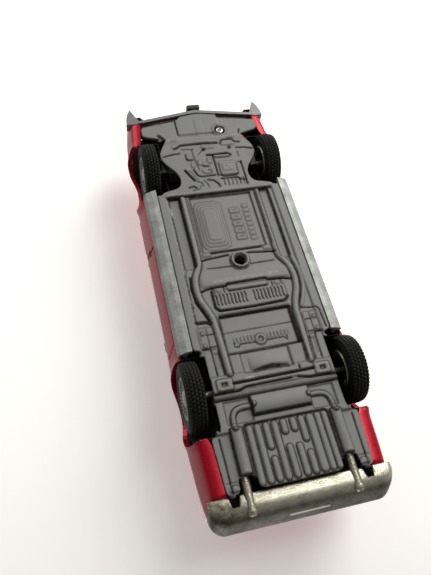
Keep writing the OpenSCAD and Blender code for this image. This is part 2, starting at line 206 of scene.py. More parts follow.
def grid_quads(rows, columns, wrap_rows=False, wrap_columns=False):
    """Vertex indices of the quads of a rows by columns grid."""
    r = np.arange(rows if wrap_rows else rows - 1)
    c = np.arange(columns if wrap_columns else columns - 1)
    R, C = np.meshgrid(r, c, indexing="ij")
    R1, C1 = (R + 1) % rows, (C + 1) % columns
    quads = np.stack([R * columns + C, R1 * columns + C, R1 * columns + C1, R * columns + C1], -1)
    return quads.reshape(-1, 4)


def grid_object(name, points, material, layers=None, wrapped=False, flipped=False):
    """A mesh object from a grid of points; wrapped joins its last row to its first."""
    quads = grid_quads(*points.shape[:2], wrap_rows=wrapped)
    if flipped:
        quads = quads[:, ::-1]
    values = {key: value.ravel() for key, value in (layers or {}).items()}
    return new_object(name, points.reshape(-1, 3), quads, material, layers=values)


def trimmed(points, field, snap=None, reach=1.2):
    """Trims a grid of points to where field is negative: (vertices, quads, index of each vertex in the grid).

    Points just outside are slid onto the edge along the field's gradient, by reach cells at most, so that the
    cut is smooth, and snap may then move them exactly onto a known edge.
    """
    rows, columns, _ = points.shape
    f_row, f_col = np.gradient(field)
    p_row, p_col = np.gradient(points, axis=0), np.gradient(points, axis=1)
    steep = f_row**2 + f_col**2 + 1e-9
    move_row = np.clip(-field * f_row / steep, -reach, reach)
    move_col = np.clip(-field * f_col / steep, -reach, reach)
    slid = points + p_row * move_row[..., None] + p_col * move_col[..., None]
    if snap:
        slid = snap(slid)
    points = np.where((field > 0)[..., None], slid, points)
    quads = grid_quads(rows, columns)
    kept = quads[(field.ravel()[quads] < 0).any(axis=1)]
    used, packed = np.unique(kept, return_inverse=True)
    return points.reshape(-1, 3)[used], packed.reshape(-1, 4), used


def grid_normals(points):
    """Smooth outward normals of a grid of points."""
    normal = np.cross(np.gradient(points, axis=0), np.gradient(points, axis=1))
    length = np.linalg.norm(normal, axis=-1, keepdims=True)
    return normal / np.maximum(length, 1e-9)


def thickened(vertices, normals, quads, wall):
    """Gives a trimmed skin its inside and its cut edges.

    Returns its vertices, its faces, the material index of each face, and for each vertex the skin vertex that
    it comes from.
    """
    count = len(vertices)
    inside = vertices - normals * wall
    starts, ends = quads.ravel(), np.roll(quads, -1, axis=1).ravel()
    known = set((starts * count + ends).tolist())
    open_edge = np.array([e * count + s not in known for s, e in zip(starts.tolist(), ends.tolist())])
    starts, ends = starts[open_edge], ends[open_edge]
    rim, in_rim = np.unique(np.concatenate([starts, ends]), return_inverse=True)
    first, second = np.split(in_rim + 2 * count, 2)
    rim_quads = np.stack([second, first, first + len(rim), second + len(rim)], 1)
    made = np.concatenate([vertices, inside, vertices[rim], inside[rim]])
    faces = np.concatenate([quads, quads[:, ::-1] + count, rim_quads])
    index = np.repeat([0, 1, 0], [len(quads), len(quads), len(rim_quads)])
    source = np.concatenate([np.arange(count), np.arange(count), rim, rim])
    return made, faces, index, source


# ---------------------------------------------------------------- materials


class Nodes:
    """A short way to build the node tree of a material, or of the world."""

    def __init__(self, name, owners=bpy.data.materials, shader="Principled BSDF"):
        self.owner = owners.new(name)
        self.owner.use_nodes = True
        self.tree = self.owner.node_tree
        self.shader = self.tree.nodes[shader]

    def feed(self, socket, value):
        """Links another node's output to a socket, or sets the socket's own value."""
        if isinstance(value, bpy.types.NodeSocket):
            self.tree.links.new(value, socket)
        elif socket.type == "RGBA":
            socket.default_value = (*value, 1)
        else:
            socket.default_value = value

    def add(self, kind, operation=None, **inputs):
        """A new node with its inputs fed by name, or by number as i0, i1 and so on."""
        made = self.tree.nodes.new(kind)
        if operation:
            made.operation = operation
        for key, value in inputs.items():
            numbered = key[0] == "i" and key[1:].isdigit()
            self.feed(made.inputs[int(key[1:]) if numbered else key.replace("_", " ")], value)
        return made

    def coordinates(self):
        return self.add("ShaderNodeTexCoord").outputs["Object"]

    def noise(self, scale, detail=4.0, roughness=0.6, stretch=None):
        """Noise over the object; scale is in cells per metre and stretch scales each axis."""
        where = self.coordinates()
        if stretch:
            where = self.add("ShaderNodeMapping", Vector=where, Scale=stretch).outputs["Vector"]
        made = self.add("ShaderNodeTexNoise", Vector=where, Scale=scale, Detail=detail, Roughness=roughness)
        return made.outputs["Fac"]

    def attribute(self, layer):
        made = self.add("ShaderNodeAttribute")
        made.attribute_name = layer
        return made.outputs["Fac"]

    def ramp(self, factor, *stops):
        """A colour ramp of (position, colour or grey) stops."""
        made = self.add("ShaderNodeValToRGB", Fac=factor)
        points = made.color_ramp.elements
        while len(points) < len(stops):
            points.new(0.5)
        for point, (position, colour) in zip(points, stops):
            point.position = position
            point.color = (*colour, 1) if isinstance(colour, tuple) else (colour, colour, colour, 1)
        return made.outputs["Color"]

    def math(self, operation, a, b, clamp=False):
        made = self.add("ShaderNodeMath", operation, i0=a, i1=b)
        made.use_clamp = clamp
        return made.outputs[0]

    def times(self, a, b, clamp=False):
        return self.math("MULTIPLY", a, b, clamp)

    def plus(self, a, b, clamp=False):
        return self.math("ADD", a, b, clamp)

    def linear(self, value, factor, offset):
        """value times factor, plus offset."""
        return self.plus(self.times(value, factor), offset)

    def mix(self, factor, a, b):
        """Colour a where factor is 0 and colour b where it is 1."""
        made = self.tree.nodes.new("ShaderNodeMix")
        made.data_type = "RGBA"
        for index, value in ((0, factor), (6, a), (7, b)):
            self.feed(made.inputs[index], value)
        return made.outputs[2]

    def bump(self, height, strength, distance):
        """Bump from a height; distance is in millimetres."""
        made = self.add("ShaderNodeBump", Height=height, Strength=strength, Distance=distance * MM)
        self.set(Normal=made.outputs["Normal"])

    def set(self, **inputs):
        """Feeds the shader's own sockets and returns the material or world."""
        for key, value in inputs.items():
            self.feed(self.shader.inputs[key.replace("_", " ")], value)
        return self.owner


def crimson_paint():
    """Metallic crimson enamel: flake in the colour, a little orange peel, a clear top, chips at edges, and
    painted shade in the grille's mouth and under the nose.
    """
    n = Nodes("crimson_paint")
    cloud = n.noise(220, 3)
    flake = n.noise(9000, 2, 0.8)
    base = n.mix(cloud, (0.34, 0.001, 0.01), (0.45, 0.002, 0.018))
    sparkle = n.ramp(flake, (0.55, 0.0), (0.75, 1.0))
    colour = n.mix(n.times(sparkle, 0.25), base, (0.7, 0.006, 0.035))
    # Painted shade: the grille's mouth and the underside of the nose are darkened to near black
    recess_shade = n.attribute("recess_shade")
    colour = n.mix(recess_shade, colour, (0.04, 0.001, 0.003))
    chip_noise = n.noise(900, 5, 0.7)
    chips = n.times(n.attribute("edge"), n.ramp(chip_noise, (0.56, 0.0), (0.6, 1.0)))
    colour = n.mix(chips, colour, (0.55, 0.54, 0.52))
    peel = n.noise(2600, 2, 0.5)
    n.bump(n.math("SUBTRACT", peel, chips), 0.25, 0.05)
    rough = n.linear(cloud, 0.12, 0.22)
    n.set(Specular_IOR_Level=0.3, Coat_Weight=0.2, Coat_Roughness=0.1)
    return n.set(Base_Color=colour, Metallic=0.4, Roughness=rough)


def base_plastic():
    """Satin grey moulding, darkened in its grooves by grime and painted shade, and lightened on its edges by
    rubbing and painted highlights.
    """
    n = Nodes("base_plastic")
    cloud = n.noise(130, 5, 0.65)
    grain = n.noise(5200, 3, 0.7)
    base = n.mix(cloud, (0.175, 0.175, 0.167), (0.215, 0.215, 0.206))
    dirt = n.times(n.attribute("dirt"), n.ramp(n.noise(700, 4), (0.25, 0.9), (0.6, 1.25)), clamp=True)
    colour = n.mix(dirt, base, (0.014, 0.0105, 0.008))
    rub_and_highlight = n.times(n.attribute("wear_and_highlight"), n.ramp(n.noise(1500, 5, 0.75), (0.42, 0.0), (0.6, 1.0)))
    colour = n.mix(rub_and_highlight, colour, (0.42, 0.42, 0.41))
    n.bump(n.linear(grain, 0.5, cloud), 0.3, 0.06)
    rough = n.plus(n.times(dirt, 0.25), n.linear(grain, 0.15, 0.4))
    return n.set(Base_Color=colour, Roughness=rough, Specular_IOR_Level=0.24)


def bare_zinc():
    """Unpainted casting: dull blue-grey oxide in blotches over paler metal."""
    n = Nodes("bare_zinc")
    blotch = n.noise(260, 4, 0.6)
    fine = n.noise(4800, 5, 0.8)
    mixed = n.plus(n.times(blotch, 0.35), n.times(fine, 0.65))
    colour = n.ramp(mixed, (0.36, (0.17, 0.18, 0.165)), (0.5, (0.35, 0.365, 0.34)), (0.62, (0.52, 0.53, 0.5)))
    n.bump(mixed, 0.5, 0.12)
    rough = n.ramp(mixed, (0.35, 0.7), (0.65, 0.5))
    return n.set(Base_Color=colour, Metallic=0.4, Roughness=rough)


def aged_nickel():
    """Warm plating: a painted highlight makes its lower lip bright, and it is duller and pitted elsewhere, brown
    where it rusts, and near white along the rolled line, also a painted highlight.
    """
    n = Nodes("aged_nickel")
    fine = n.noise(5200, 5, 0.8)
    blotch = n.noise(300, 4, 0.6)
    pits = n.ramp(fine, (0.43, 1.0), (0.52, 0.0))
    dull = n.mix(n.ramp(blotch, (0.4, 0.0), (0.68, 1.0)), (0.2, 0.185, 0.148), (0.1, 0.085, 0.062))
    # Painted highlight: the lit lower lip of the bumper gets the bright plating colour, the face above it the
    # dull one
    lip_highlight = n.times(n.attribute("lip_highlight"), n.ramp(blotch, (0.3, 1.0), (0.8, 0.6)))
    base = n.mix(lip_highlight, dull, (0.8, 0.75, 0.61))
    colour = n.mix(n.times(pits, 0.7), base, (0.05, 0.042, 0.03))
    rust = n.times(n.attribute("rust"), n.ramp(n.noise(420, 5, 0.7), (0.35, 0.2), (0.62, 1.0)))
    colour = n.mix(rust, colour, (0.055, 0.032, 0.016))
    # Painted highlight: the rolled line across the bumper's face is made near white
    colour = n.mix(n.attribute("edge"), colour, (1.0, 0.95, 0.78))
    n.bump(n.math("SUBTRACT", blotch, pits), 0.35, 0.05)
    rough = n.linear(n.plus(pits, rust), 0.2, 0.24)
    return n.set(Base_Color=colour, Metallic=0.9, Roughness=rough)


def tip_nickel():
    """Warm plating of the exhaust tips, speckled where it has worn through."""
    n = Nodes("tip_nickel")
    fine = n.noise(3600, 5, 0.8)
    pits = n.ramp(fine, (0.44, 1.0), (0.54, 0.0))
    colour = n.mix(n.times(pits, 0.8), (0.52, 0.48, 0.38), (0.07, 0.06, 0.045))
    n.bump(n.math("SUBTRACT", n.noise(420, 3), pits), 0.4, 0.06)
    return n.set(Base_Color=colour, Metallic=0.9, Roughness=n.linear(pits, 0.2, 0.26))


def bright_nickel():
    """Cleaner plating for the thin front bumper, its points and the grille."""
    n = Nodes("bright_nickel")
    fine = n.noise(4200, 5, 0.75)
    pits = n.ramp(fine, (0.3, 1.0), (0.4, 0.0))
    colour = n.mix(n.times(pits, 0.6), (0.2, 0.203, 0.2), (0.06, 0.06, 0.055))
    n.bump(fine, 0.3, 0.04)
    rough = n.linear(fine, 0.25, 0.33)
    return n.set(Base_Color=colour, Metallic=0.75, Roughness=rough)


def hub_metal():
    """Plated hub, darkened in its flutes and over its back by grime and painted shade."""
    n = Nodes("hub_metal")
    fine = n.noise(3000, 5, 0.7)
    colour = n.mix(n.times(n.attribute("dirt"), 0.96), (0.4, 0.385, 0.34), (0.012, 0.011, 0.01))
    colour = n.mix(n.ramp(fine, (0.55, 0.0), (0.75, 0.5)), colour, (0.28, 0.25, 0.2))
    n.bump(fine, 0.3, 0.05)
    return n.set(Base_Color=colour, Metallic=0.9, Roughness=n.linear(fine, 0.3, 0.2))


def drawn_steel():
    """Bare steel wire, streaked along its length."""
    n = Nodes("drawn_steel")
    streak = n.noise(900, 4, 0.6, stretch=(0.15, 6, 6))
    colour = n.ramp(streak, (0.3, (0.42, 0.4, 0.37)), (0.7, (0.75, 0.73, 0.69)))
    n.bump(streak, 0.3, 0.03)
    return n.set(Base_Color=colour, Metallic=1.0, Roughness=n.linear(streak, 0.3, 0.2))


def tyre_rubber():
    """Black rubber: a faint dusting all over, block tops painted lighter than the gaps as a highlight, and a
    faint sheen on the blocks.
    """
    n = Nodes("tyre_rubber")
    fine = n.noise(4200, 4, 0.7)
    cloud = n.noise(260, 4)
    base = n.mix(cloud, (0.004, 0.004, 0.0042), (0.009, 0.0085, 0.008))
    dust = n.times(n.attribute("dust"), n.ramp(fine, (0.35, 0.25), (0.75, 1.0)))
    colour = n.mix(dust, base, (0.04, 0.037, 0.033))
    n.bump(fine, 0.35, 0.05)
    return n.set(Base_Color=colour, Roughness=n.linear(fine, 0.2, 0.38), Specular_IOR_Level=0.14)


def moulded(name, colour, roughness, scale=300):
    """Plain moulded plastic with slight clouding and a fine grain."""
    n = Nodes(name)
    cloud = n.noise(scale, 4)
    grain = n.noise(scale * 16, 3, 0.7)
    darker = tuple(c * 0.8 for c in colour)
    n.bump(grain, 0.3, 0.04)
    rough = n.linear(grain, 0.2, roughness - 0.1)
    return n.set(Base_Color=n.mix(cloud, darker, colour), Roughness=rough)


def clear_plastic(name, colour, roughness):
    """Clear moulded plastic with a slight haze."""
    n = Nodes(name)
    haze = n.noise(500, 4)
    rough = n.linear(haze, 0.08, roughness)
    n.bump(haze, 0.1, 0.02)
    return n.set(Base_Color=colour, Roughness=rough, Transmission_Weight=0.95, IOR=1.2)


def ribbed_lens(name, colour, pitch):
    """Transparent lamp plastic with fine vertical ribs moulded in."""
    n = Nodes(name)
    # A wave texture of scale 1 repeats every 0.314 m
    wave = n.add("ShaderNodeTexWave", Vector=n.coordinates(), Scale=0.314 / (pitch * MM))
    wave.bands_direction = "X"
    n.bump(wave.outputs["Fac"], 0.6, 0.12)
    tone = n.mix(wave.outputs["Fac"], tuple(c * 0.7 for c in colour), colour)
    return n.set(Base_Color=tone, Roughness=0.15, Specular_IOR_Level=0.7, Coat_Weight=0.6)


PAINT = crimson_paint()
PLASTIC = base_plastic()
ZINC = bare_zinc()
NICKEL = aged_nickel()
BRIGHT = bright_nickel()
TIP = tip_nickel()
HUB = hub_metal()
STEEL = drawn_steel()
RUBBER = tyre_rubber()
CREAM = moulded("tan_moulding", (0.16, 0.1, 0.055), 0.5)
# Painted shade: a dark red for the inside of the casting, standing for the shade inside the body
SHADED_INSIDE = moulded("casting_inside_shade", (0.11, 0.003, 0.007), 0.5)
# Painted shade: a near-black for the sheets inside the wheel arches, over the sills and in the nose, standing
# for the shade there
SHADE_BLACK = moulded("wheel_well", (0.006, 0.005, 0.005), 0.8)
SEAM = moulded("shut_line", (0.03, 0.001, 0.003), 0.6)
DARK = moulded("dark_moulding", (0.02, 0.02, 0.021), 0.45)
BROWN = moulded("lever_moulding", (0.032, 0.014, 0.01), 0.38)
WHITE = moulded("plate_white", (0.8, 0.8, 0.77), 0.4)
GLASS = clear_plastic("glazing", (0.93, 0.96, 0.97), 0.04)
LENS = ribbed_lens("lamp_lens", (0.75, 0.77, 0.78), 0.5)
RED_LENS = ribbed_lens("tail_lens", (0.55, 0.01, 0.012), 0.6)


# ---------------------------------------------------------------- camera, floor and light

CAMERA_AT = Vector((-40.3, 74.1, -123.4))
CAMERA_TARGET = Vector((-8.4, 5.05, 5.0))
CAMERA_ROLL = math.radians(-14.84)
CAMERA_LENS = 35.6
FLOOR_HALF = 520
LIT_POINT = Vector((0, 0, 12))


def make_camera():
    """The photograph's viewpoint: below and behind the car, rolled about the line of sight."""
    look = (CAMERA_TARGET - CAMERA_AT).normalized()
    across = look.cross(Vector((0, -1, 0))).normalized()
    up = across.cross(look)
    right = across * math.cos(CAMERA_ROLL) + up * math.sin(CAMERA_ROLL)
    top = up * math.cos(CAMERA_ROLL) - across * math.sin(CAMERA_ROLL)
    data = bpy.data.cameras.new("camera")
    data.lens = CAMERA_LENS
    data.sensor_width = 36
    data.clip_start = 0.005
    data.clip_end = 20
    camera = bpy.data.objects.new("camera", data)
    turn = Matrix((right, top, -look)).transposed().to_4x4()
    camera.matrix_world = Matrix.Translation(CAMERA_AT * MM) @ turn
    bpy.context.scene.collection.objects.link(camera)
    bpy.context.scene.camera = camera


def make_floor(name, z, facing_up):
    """A pale floor that shows only from the side its normal faces, and fades out towards its rim.

    The car lies on its roof in the main view and stands on its wheels in the views from above, so there is
    one floor for each, and neither shades or blocks the other's light.
    """
    half = FLOOR_HALF
    end = half if facing_up else -half
    n = Nodes(name)
    facing_away = n.add("ShaderNodeNewGeometry").outputs["Backfacing"]
    where = n.add("ShaderNodeSeparateXYZ", Vector=n.coordinates())
    span = n.add("ShaderNodeVectorMath", "LENGTH", i0=n.coordinates())
    rim = n.ramp(n.math("DIVIDE", span.outputs["Value"], half * MM), (0.85, 0.0), (1.0, 1.0))
    unseen = n.math("MAXIMUM", facing_away, rim)
    # Painted fall-off of light: the floor's colour, which it also gives off as a faint glow, darkens slowly from
    # the front of the car to its rear
    slope = n.plus(n.times(where.outputs["X"], 0.3), n.times(where.outputs["Y"], -4.0))
    fall = n.plus(n.plus(slope, 0.72, clamp=True), n.times(n.noise(14, 3), 0.04))
    tone = n.ramp(fall, (0.0, (0.72, 0.705, 0.67)), (0.7, (0.96, 0.955, 0.93)))
    n.set(Base_Color=tone, Roughness=0.85, Specular_IOR_Level=0.1, Emission_Color=tone, Emission_Strength=0.3)
    clear = n.add("ShaderNodeBsdfTransparent")
    mix = n.add("ShaderNodeMixShader", i0=unseen, i1=n.shader.outputs[0], i2=clear.outputs[0])
    n.feed(n.tree.nodes["Material Output"].inputs["Surface"], mix.outputs[0])
    corners = [(-half, -end, z), (half, -end, z), (half, end, z), (-half, end, z)]
    floor = new_object(name, corners, [(0, 1, 2, 3)], n.owner, smooth=False)
    for ray in ("visible_shadow", "visible_diffuse", "visible_glossy", "visible_transmission"):
        setattr(floor, ray, False)


def make_light(name, at, size, energy, colour):
    """A round area light of the given size, aimed at the middle of the car."""
    data = bpy.data.lights.new(name, "AREA")
    data.shape = "DISK"
    data.size = size * MM
    data.energy = energy
    data.color = colour
    light = bpy.data.objects.new(name, data)
    light.location = Vector(at) * MM
    light.rotation_mode = "QUATERNION"
    light.rotation_quaternion = (LIT_POINT - Vector(at)).to_track_quat("-Z", "Y")
    bpy.context.scene.collection.objects.link(light)


def make_world():
    """A room, pale round the horizon, dimmer overhead and underneath, and brighter to the front left."""
    n = Nodes("pale_room", bpy.data.worlds, "Background")
    towards = n.add("ShaderNodeTexCoord").outputs["Generated"]
    height = n.add("ShaderNodeSeparateXYZ", Vector=towards).outputs["Z"]
    zone = n.add("ShaderNodeMapRange", From_Min=-1, Value=height).outputs["Result"]
    levels = ((0.0, 0.2), (0.36, 0.24), (0.49, 0.56), (0.7, 0.66), (0.82, 0.5), (1.0, 0.48))
    warm = n.ramp(zone, *[(position, (level, level * 0.99, level * 0.97)) for position, level in levels])
    side = n.add("ShaderNodeVectorMath", "DOT_PRODUCT", i0=towards, i1=(0.32, -0.3, 0))
    bpy.context.scene.world = n.set(Color=warm, Strength=n.plus(side.outputs["Value"], 1.0))
    bpy.context.scene.view_settings.view_transform = "Standard"


def make_surroundings():
    """The world, a floor under the roof and one under the wheels, and the lights for each side."""
    make_world()
    make_floor("floor_under_roof", cad_high[2] / MM, facing_up=False)
    make_floor("floor_under_wheels", cad_low[2] / MM, facing_up=True)
    # Key and fill for the underside, then a softer pair for the views from above
    make_light("key_below", (235, -200, -268), 300, 1.25, (1, 0.99, 0.96))
    make_light("window_below", (110, -10, -330), 160, 0.3, (1, 0.99, 0.97))
    make_light("fill_below", (-150, -350, -200), 300, 0.45, (1, 0.99, 0.97))
    make_light("key_above", (180, -270, 290), 220, 1.2, (1, 0.98, 0.95))
    make_light("fill_above", (-60, 300, 300), 300, 0.35, (0.95, 0.97, 1))


make_camera()
make_surroundings()


# ---------------------------------------------------------------- grey base


class Relief:
    """Height towards the ground, grime with painted shade, and rubbed bright marks with painted highlights over
    a grid, added to feature by feature (all in mm).
    """

    def __init__(self, x, y):
        self.x, self.y = x, y
        self.height = np.zeros(x.shape)
        self.dirt = np.zeros(x.shape)
        self.wear_and_highlight = np.zeros(x.shape)

    def halves(self):
        """The relief as seen from either side of the car, so that one set of marks is made on both."""
        for sign in (-1, 1):
            half = copy.copy(self)
            half.x = sign * self.x
            yield half

    def line(self, points):
        """Distance from a polyline."""
        return segment_distance(self.x, self.y, points)

    def box(self, *box):
        """Signed distance from a rounded rectangle: its centre, half sizes and radius."""
        return box_distance(self.x, self.y, *box)

    def point(self, x, y):
        """Distance from a point."""
        return np.hypot(self.x - x, self.y - y)

    def soil_and_shade(self, distance, reach, amount):
        """Grime and painted shade that fade out at about reach from a feature."""
        dirt = amount * fading(distance, 0.25 * reach, 1.2 * reach)
        np.maximum(self.dirt, dirt, out=self.dirt)

    def rub_and_highlight(self, distance, reach, amount):
        """Bright rubbed marks and painted highlights that fade out at reach from a feature."""
        np.maximum(self.wear_and_highlight, amount * fading(distance, 0.0, reach), out=self.wear_and_highlight)

    def groove(self, points, width, depth, dirt=0.8):
        """A cut along a polyline, darkened in it by grime and painted shade."""
        distance = self.line(points)
        self.height -= depth * fading(distance, width * 0.3, width * 1.3)
        self.soil_and_shade(distance, width * 1.25, dirt)

    def ridge(self, points, width, height, wear_and_highlight=0.15):
        """A round bead along a polyline, lightened along its crest by rubbing and a painted highlight."""
        distance = self.line(points)
        self.height += height * bulge(distance, width * 1.25)
        self.rub_and_highlight(distance, width * 0.5, wear_and_highlight)

    def tube(self, points, radius, height, dirt=0.55):
        """A half-round pipe, darkened along both of its feet by grime and painted shade."""
        distance = self.line(points)
        self.height += height * bulge(distance, radius)
        self.soil_and_shade(np.abs(distance - radius * 1.12), 0.3, dirt)

    def shape(self, distance, height, edge=0.22, dirt=0.35):
        """Raises or sinks the inside of a signed distance, darkened at the foot of the step by grime and painted
        shade.
        """
        self.height += height * fading(distance, -edge, edge)
        foot = distance - 0.18 if height > 0 else -distance - 0.18
        self.soil_and_shade(np.abs(foot), 0.3, dirt)

    def pad(self, cx, cy, hx, hy, radius=0.2, height=0.25, edge=0.2, dirt=0.35):
        self.shape(self.box(cx, cy, hx, hy, radius), height, edge, dirt)

    def disc(self, cx, cy, radius, height, edge=0.15, dirt=0.3):
        self.shape(self.point(cx, cy) - radius, height, edge, dirt)


BASE_PITCH = 0.2
BASE_LEVEL = 0.9
BASE_RELIEF = 1.15
BASE_TOP = 8.2
STAND_HOLE = (0.0, -1.85)
LEVER_RIVET = (5.9, -50.4)

BASE_OUTLINE = rounded(mirrored([
    (0, -58), (6.1, -57), (6.1, -56), (17.7, -54.2), (18.3, -53.5), (18.3, -50.9), (17.2, -50.2), (13.6, -49.2),
    (11.9, -48.6), (11.4, -47.8), (12.4, -46), (14, -43.3), (14.6, -41), (14.2, -39), (12.5, -36.5), (11, -34.6),
    (10.2, -32.3), (10.4, -30), (11.6, -28.4), (14.4, -27.8), (16.3, -27.3), (16.5, -26.6), (18, -26.5),
    (18, 21.9), (16.6, 22.1), (15.7, 23.1), (15.6, 24.5), (15.6, 41.2), (16, 42.7), (17.2, 43.3), (18.3, 43.4),
    (17.6, 56.4), (14.5, 56.4), (14.5, 53.1), (10.2, 53.1), (10.2, 55.6), (9.4, 56.3),
]), 2)


def base_levels(r):
    """The large steps of the base: nose, engine plate, floor, and the tank floor at the rear."""
    x, y = r.x, r.y
    nose = fading(y, -49.2, -46.2)
    r.height -= 1.2 * nose
    centre = polygon_distance(x, y, [(-7.4, -60), (6.1, -60), (6.1, -49.6), (-7.4, -49.6)])
    r.height += 0.4 * fading(centre, -0.25, 0.25) * nose
    r.height -= 0.25 * smoothstep(y, -46.5, -45) * fading(y, -26.6, -26.2)
    # The floor lies a little deeper than the flanges beside it
    floor = np.maximum(np.abs(x) - 15.8, np.maximum(-25.2 - y, y - 34.6))
    r.shape(floor, -0.3, 0.2, 0.45)
    r.height -= 0.75 * smoothstep(y, 34.6, 35.2)
    outer = np.maximum(14 - np.abs(x), 43 - y)
    r.height -= 0.6 * fading(outer, -0.3, 0.3)
    r.soil_and_shade(np.abs(outer), 0.25, 0.35)


def nose_relief(r):
    """Plate of the headlamp lever, with its rivet sunk in a ring."""
    r.groove([(-7.4, -56.3), (-7.4, -49.7)], 0.22, 0.3)
    r.pad(-0.3, -52, 1.2, 3.6, 0.6, 0.12, dirt=0.12)
    r.groove([(-13.4, -50.3), (-12.6, -49.2), (-11.9, -48.3)], 0.5, 0.5)
    r.groove([(12.2, -50.4), (11.8, -49)], 0.3, 0.3)
    r.disc(*LEVER_RIVET, 2.35, 0.3)
    r.disc(*LEVER_RIVET, 1.68, -1.6, 0.12, 0.9)
    for x0, x1, y0, y1 in [(-10, -9, -47.2, -46.4), (7.4, 9, -46.5, -46.1)]:
        r.pad((x0 + x1) / 2, (y0 + y1) / 2, (x1 - x0) / 2, (y1 - y0) / 2, 0.2, 0.1)


def engine_relief(r):
    """Cast joints, ribs and covers of the engine and gearbox."""
    deep = [
        [(-10.1, -43.3), (-8.9, -43.8), (-8, -44.5), (-0.3, -44.7), (3.5, -44.4)],
        [(4.4, -44.2), (5, -45.2), (6.5, -45.5), (8.4, -45.4), (9.1, -44.4), (10.6, -44.2)],
        [(-13.8, -40.7), (-11.6, -41.2), (-8.8, -41.5)],
        [(9, -42), (12, -41.7), (14, -41.1)],
        [(1.1, -39.6), (1.1, -31.7)],
        [(9.1, -36.4), (9.1, -27.6)],
        [(-8.5, -34.8), (-6.4, -30.6)],
        [(-5.8, -34.8), (-5, -32.5), (-3.8, -31.9), (0.2, -32.1)],
        [(1.8, -31.9), (2.9, -31.3), (6.4, -31.4), (7.2, -31.9)],
        [(1.6, -30.6), (6.6, -30.5), (7.4, -29.6), (9, -29.4)],
        [(-8.5, -28.3), (-7.1, -28.6), (-6.3, -27.9)],
        [(-2.4, -30.6), (-0.6, -30), (0.4, -28.8), (0.7, -27.7)],
    ]
    for points in deep:
        r.groove(points, 0.3, 0.42)
    raised_back = [(x, y - 0.6) for x, y in deep[0]]
    r.ridge(raised_back, 0.5, 0.25)
    r.pad(6.7, -44.2, 2, 0.9, 0.5, 0.2)
    fine = [
        [(-4.8, -42.5), (-4.7, -39), (-4.1, -34.2)],
        [(-7.2, -40.8), (-7.2, -38.8), (-6.2, -38.2), (-4.9, -38.5)],
        [(-3.2, -40.4), (-2, -41.7), (-0.6, -42.4)],
        [(2.1, -36), (2, -32.4)],
        [(-7.2, -34.6), (-5.3, -30.8)],
        [(-2.9, -35.9), (-2.3, -35.5), (-0.8, -35.4)],
        [(-3.4, -34), (-3.2, -33.2), (-2.2, -32.9), (-0.6, -33)],
        [(-1.4, -34.3), (-0.6, -34.1), (-0.6, -33.2)],
        [(8.9, -40.4), (8.9, -38.4)],
        [(8, -36.3), (9.2, -36.1)],
        [(7.4, -35.6), (7.2, -32.6)],
        [(-5.6, -30.2), (-4.4, -29.6), (-4.2, -28.3)],
        [(-3.6, -30.4), (-2.9, -29.2), (-2.6, -27.9)],
        [(-7.6, -27.2), (-5.6, -27.4), (-4.8, -28.6)],
        [(1.5, -38.6), (3.8, -38.5), (6.2, -38.6)],
        [(-8, -43), (-4.4, -42.6)],
    ]
    for points in fine:
        r.groove(points, 0.2, 0.26, 0.6)
    r.groove([(-0.6, -40), (1.2, -39.9), (5.6, -40.1), (6.6, -39.3)], 0.42, 0.5, 0.95)
    r.ridge([(1.7, -39.2), (6.2, -39.1)], 0.35, 0.25)
    r.ridge([(-7.9, -34.8), (-5.9, -30.8)], 0.45, 0.35)
    r.pad(-6.1, -39.6, 0.9, 1.1, 0.3, 0.35)
    r.pad(0.2, -43.1, 1.8, 0.55, 0.3, 0.18)
    r.disc(-1.2, -42.2, 0.5, -0.35, dirt=0.9)
    r.disc(6.9, -42.3, 0.55, -0.35, dirt=0.9)
    r.pad(4.7, -34.3, 2.6, 2.5, 0.8, 0.2)
    r.pad(4.6, -34.4, 1.6, 1.2, 0.4, 0.16, dirt=0.2)
    r.disc(4.6, -35, 0.4, 0.22, dirt=0.0)
    r.rub_and_highlight(r.point(4.6, -35), 0.7, 1.0)
    lumps = ((-1.8, -36.4, 0.8, 0.5), (-3.4, -37.2, 0.5, 0.9), (-0.4, -37.6, 0.5, 1), (-5.6, -36.4, 0.4, 0.8))
    for lump in lumps:
        r.pad(*lump, 0.25, 0.22)
    for index in range(6):
        x = 2.3 + 1.2 * index
        r.groove([(x, -30.2), (x, -28 + 0.15 * (index % 2))], 0.2, 0.32, 0.6)
    r.ridge([(-15.6, -25.9), (15.6, -26.1)], 0.5, 0.22, 0.3)
    r.groove([(-15.6, -25.1), (15.4, -25.4)], 0.3, 0.3, 0.9)


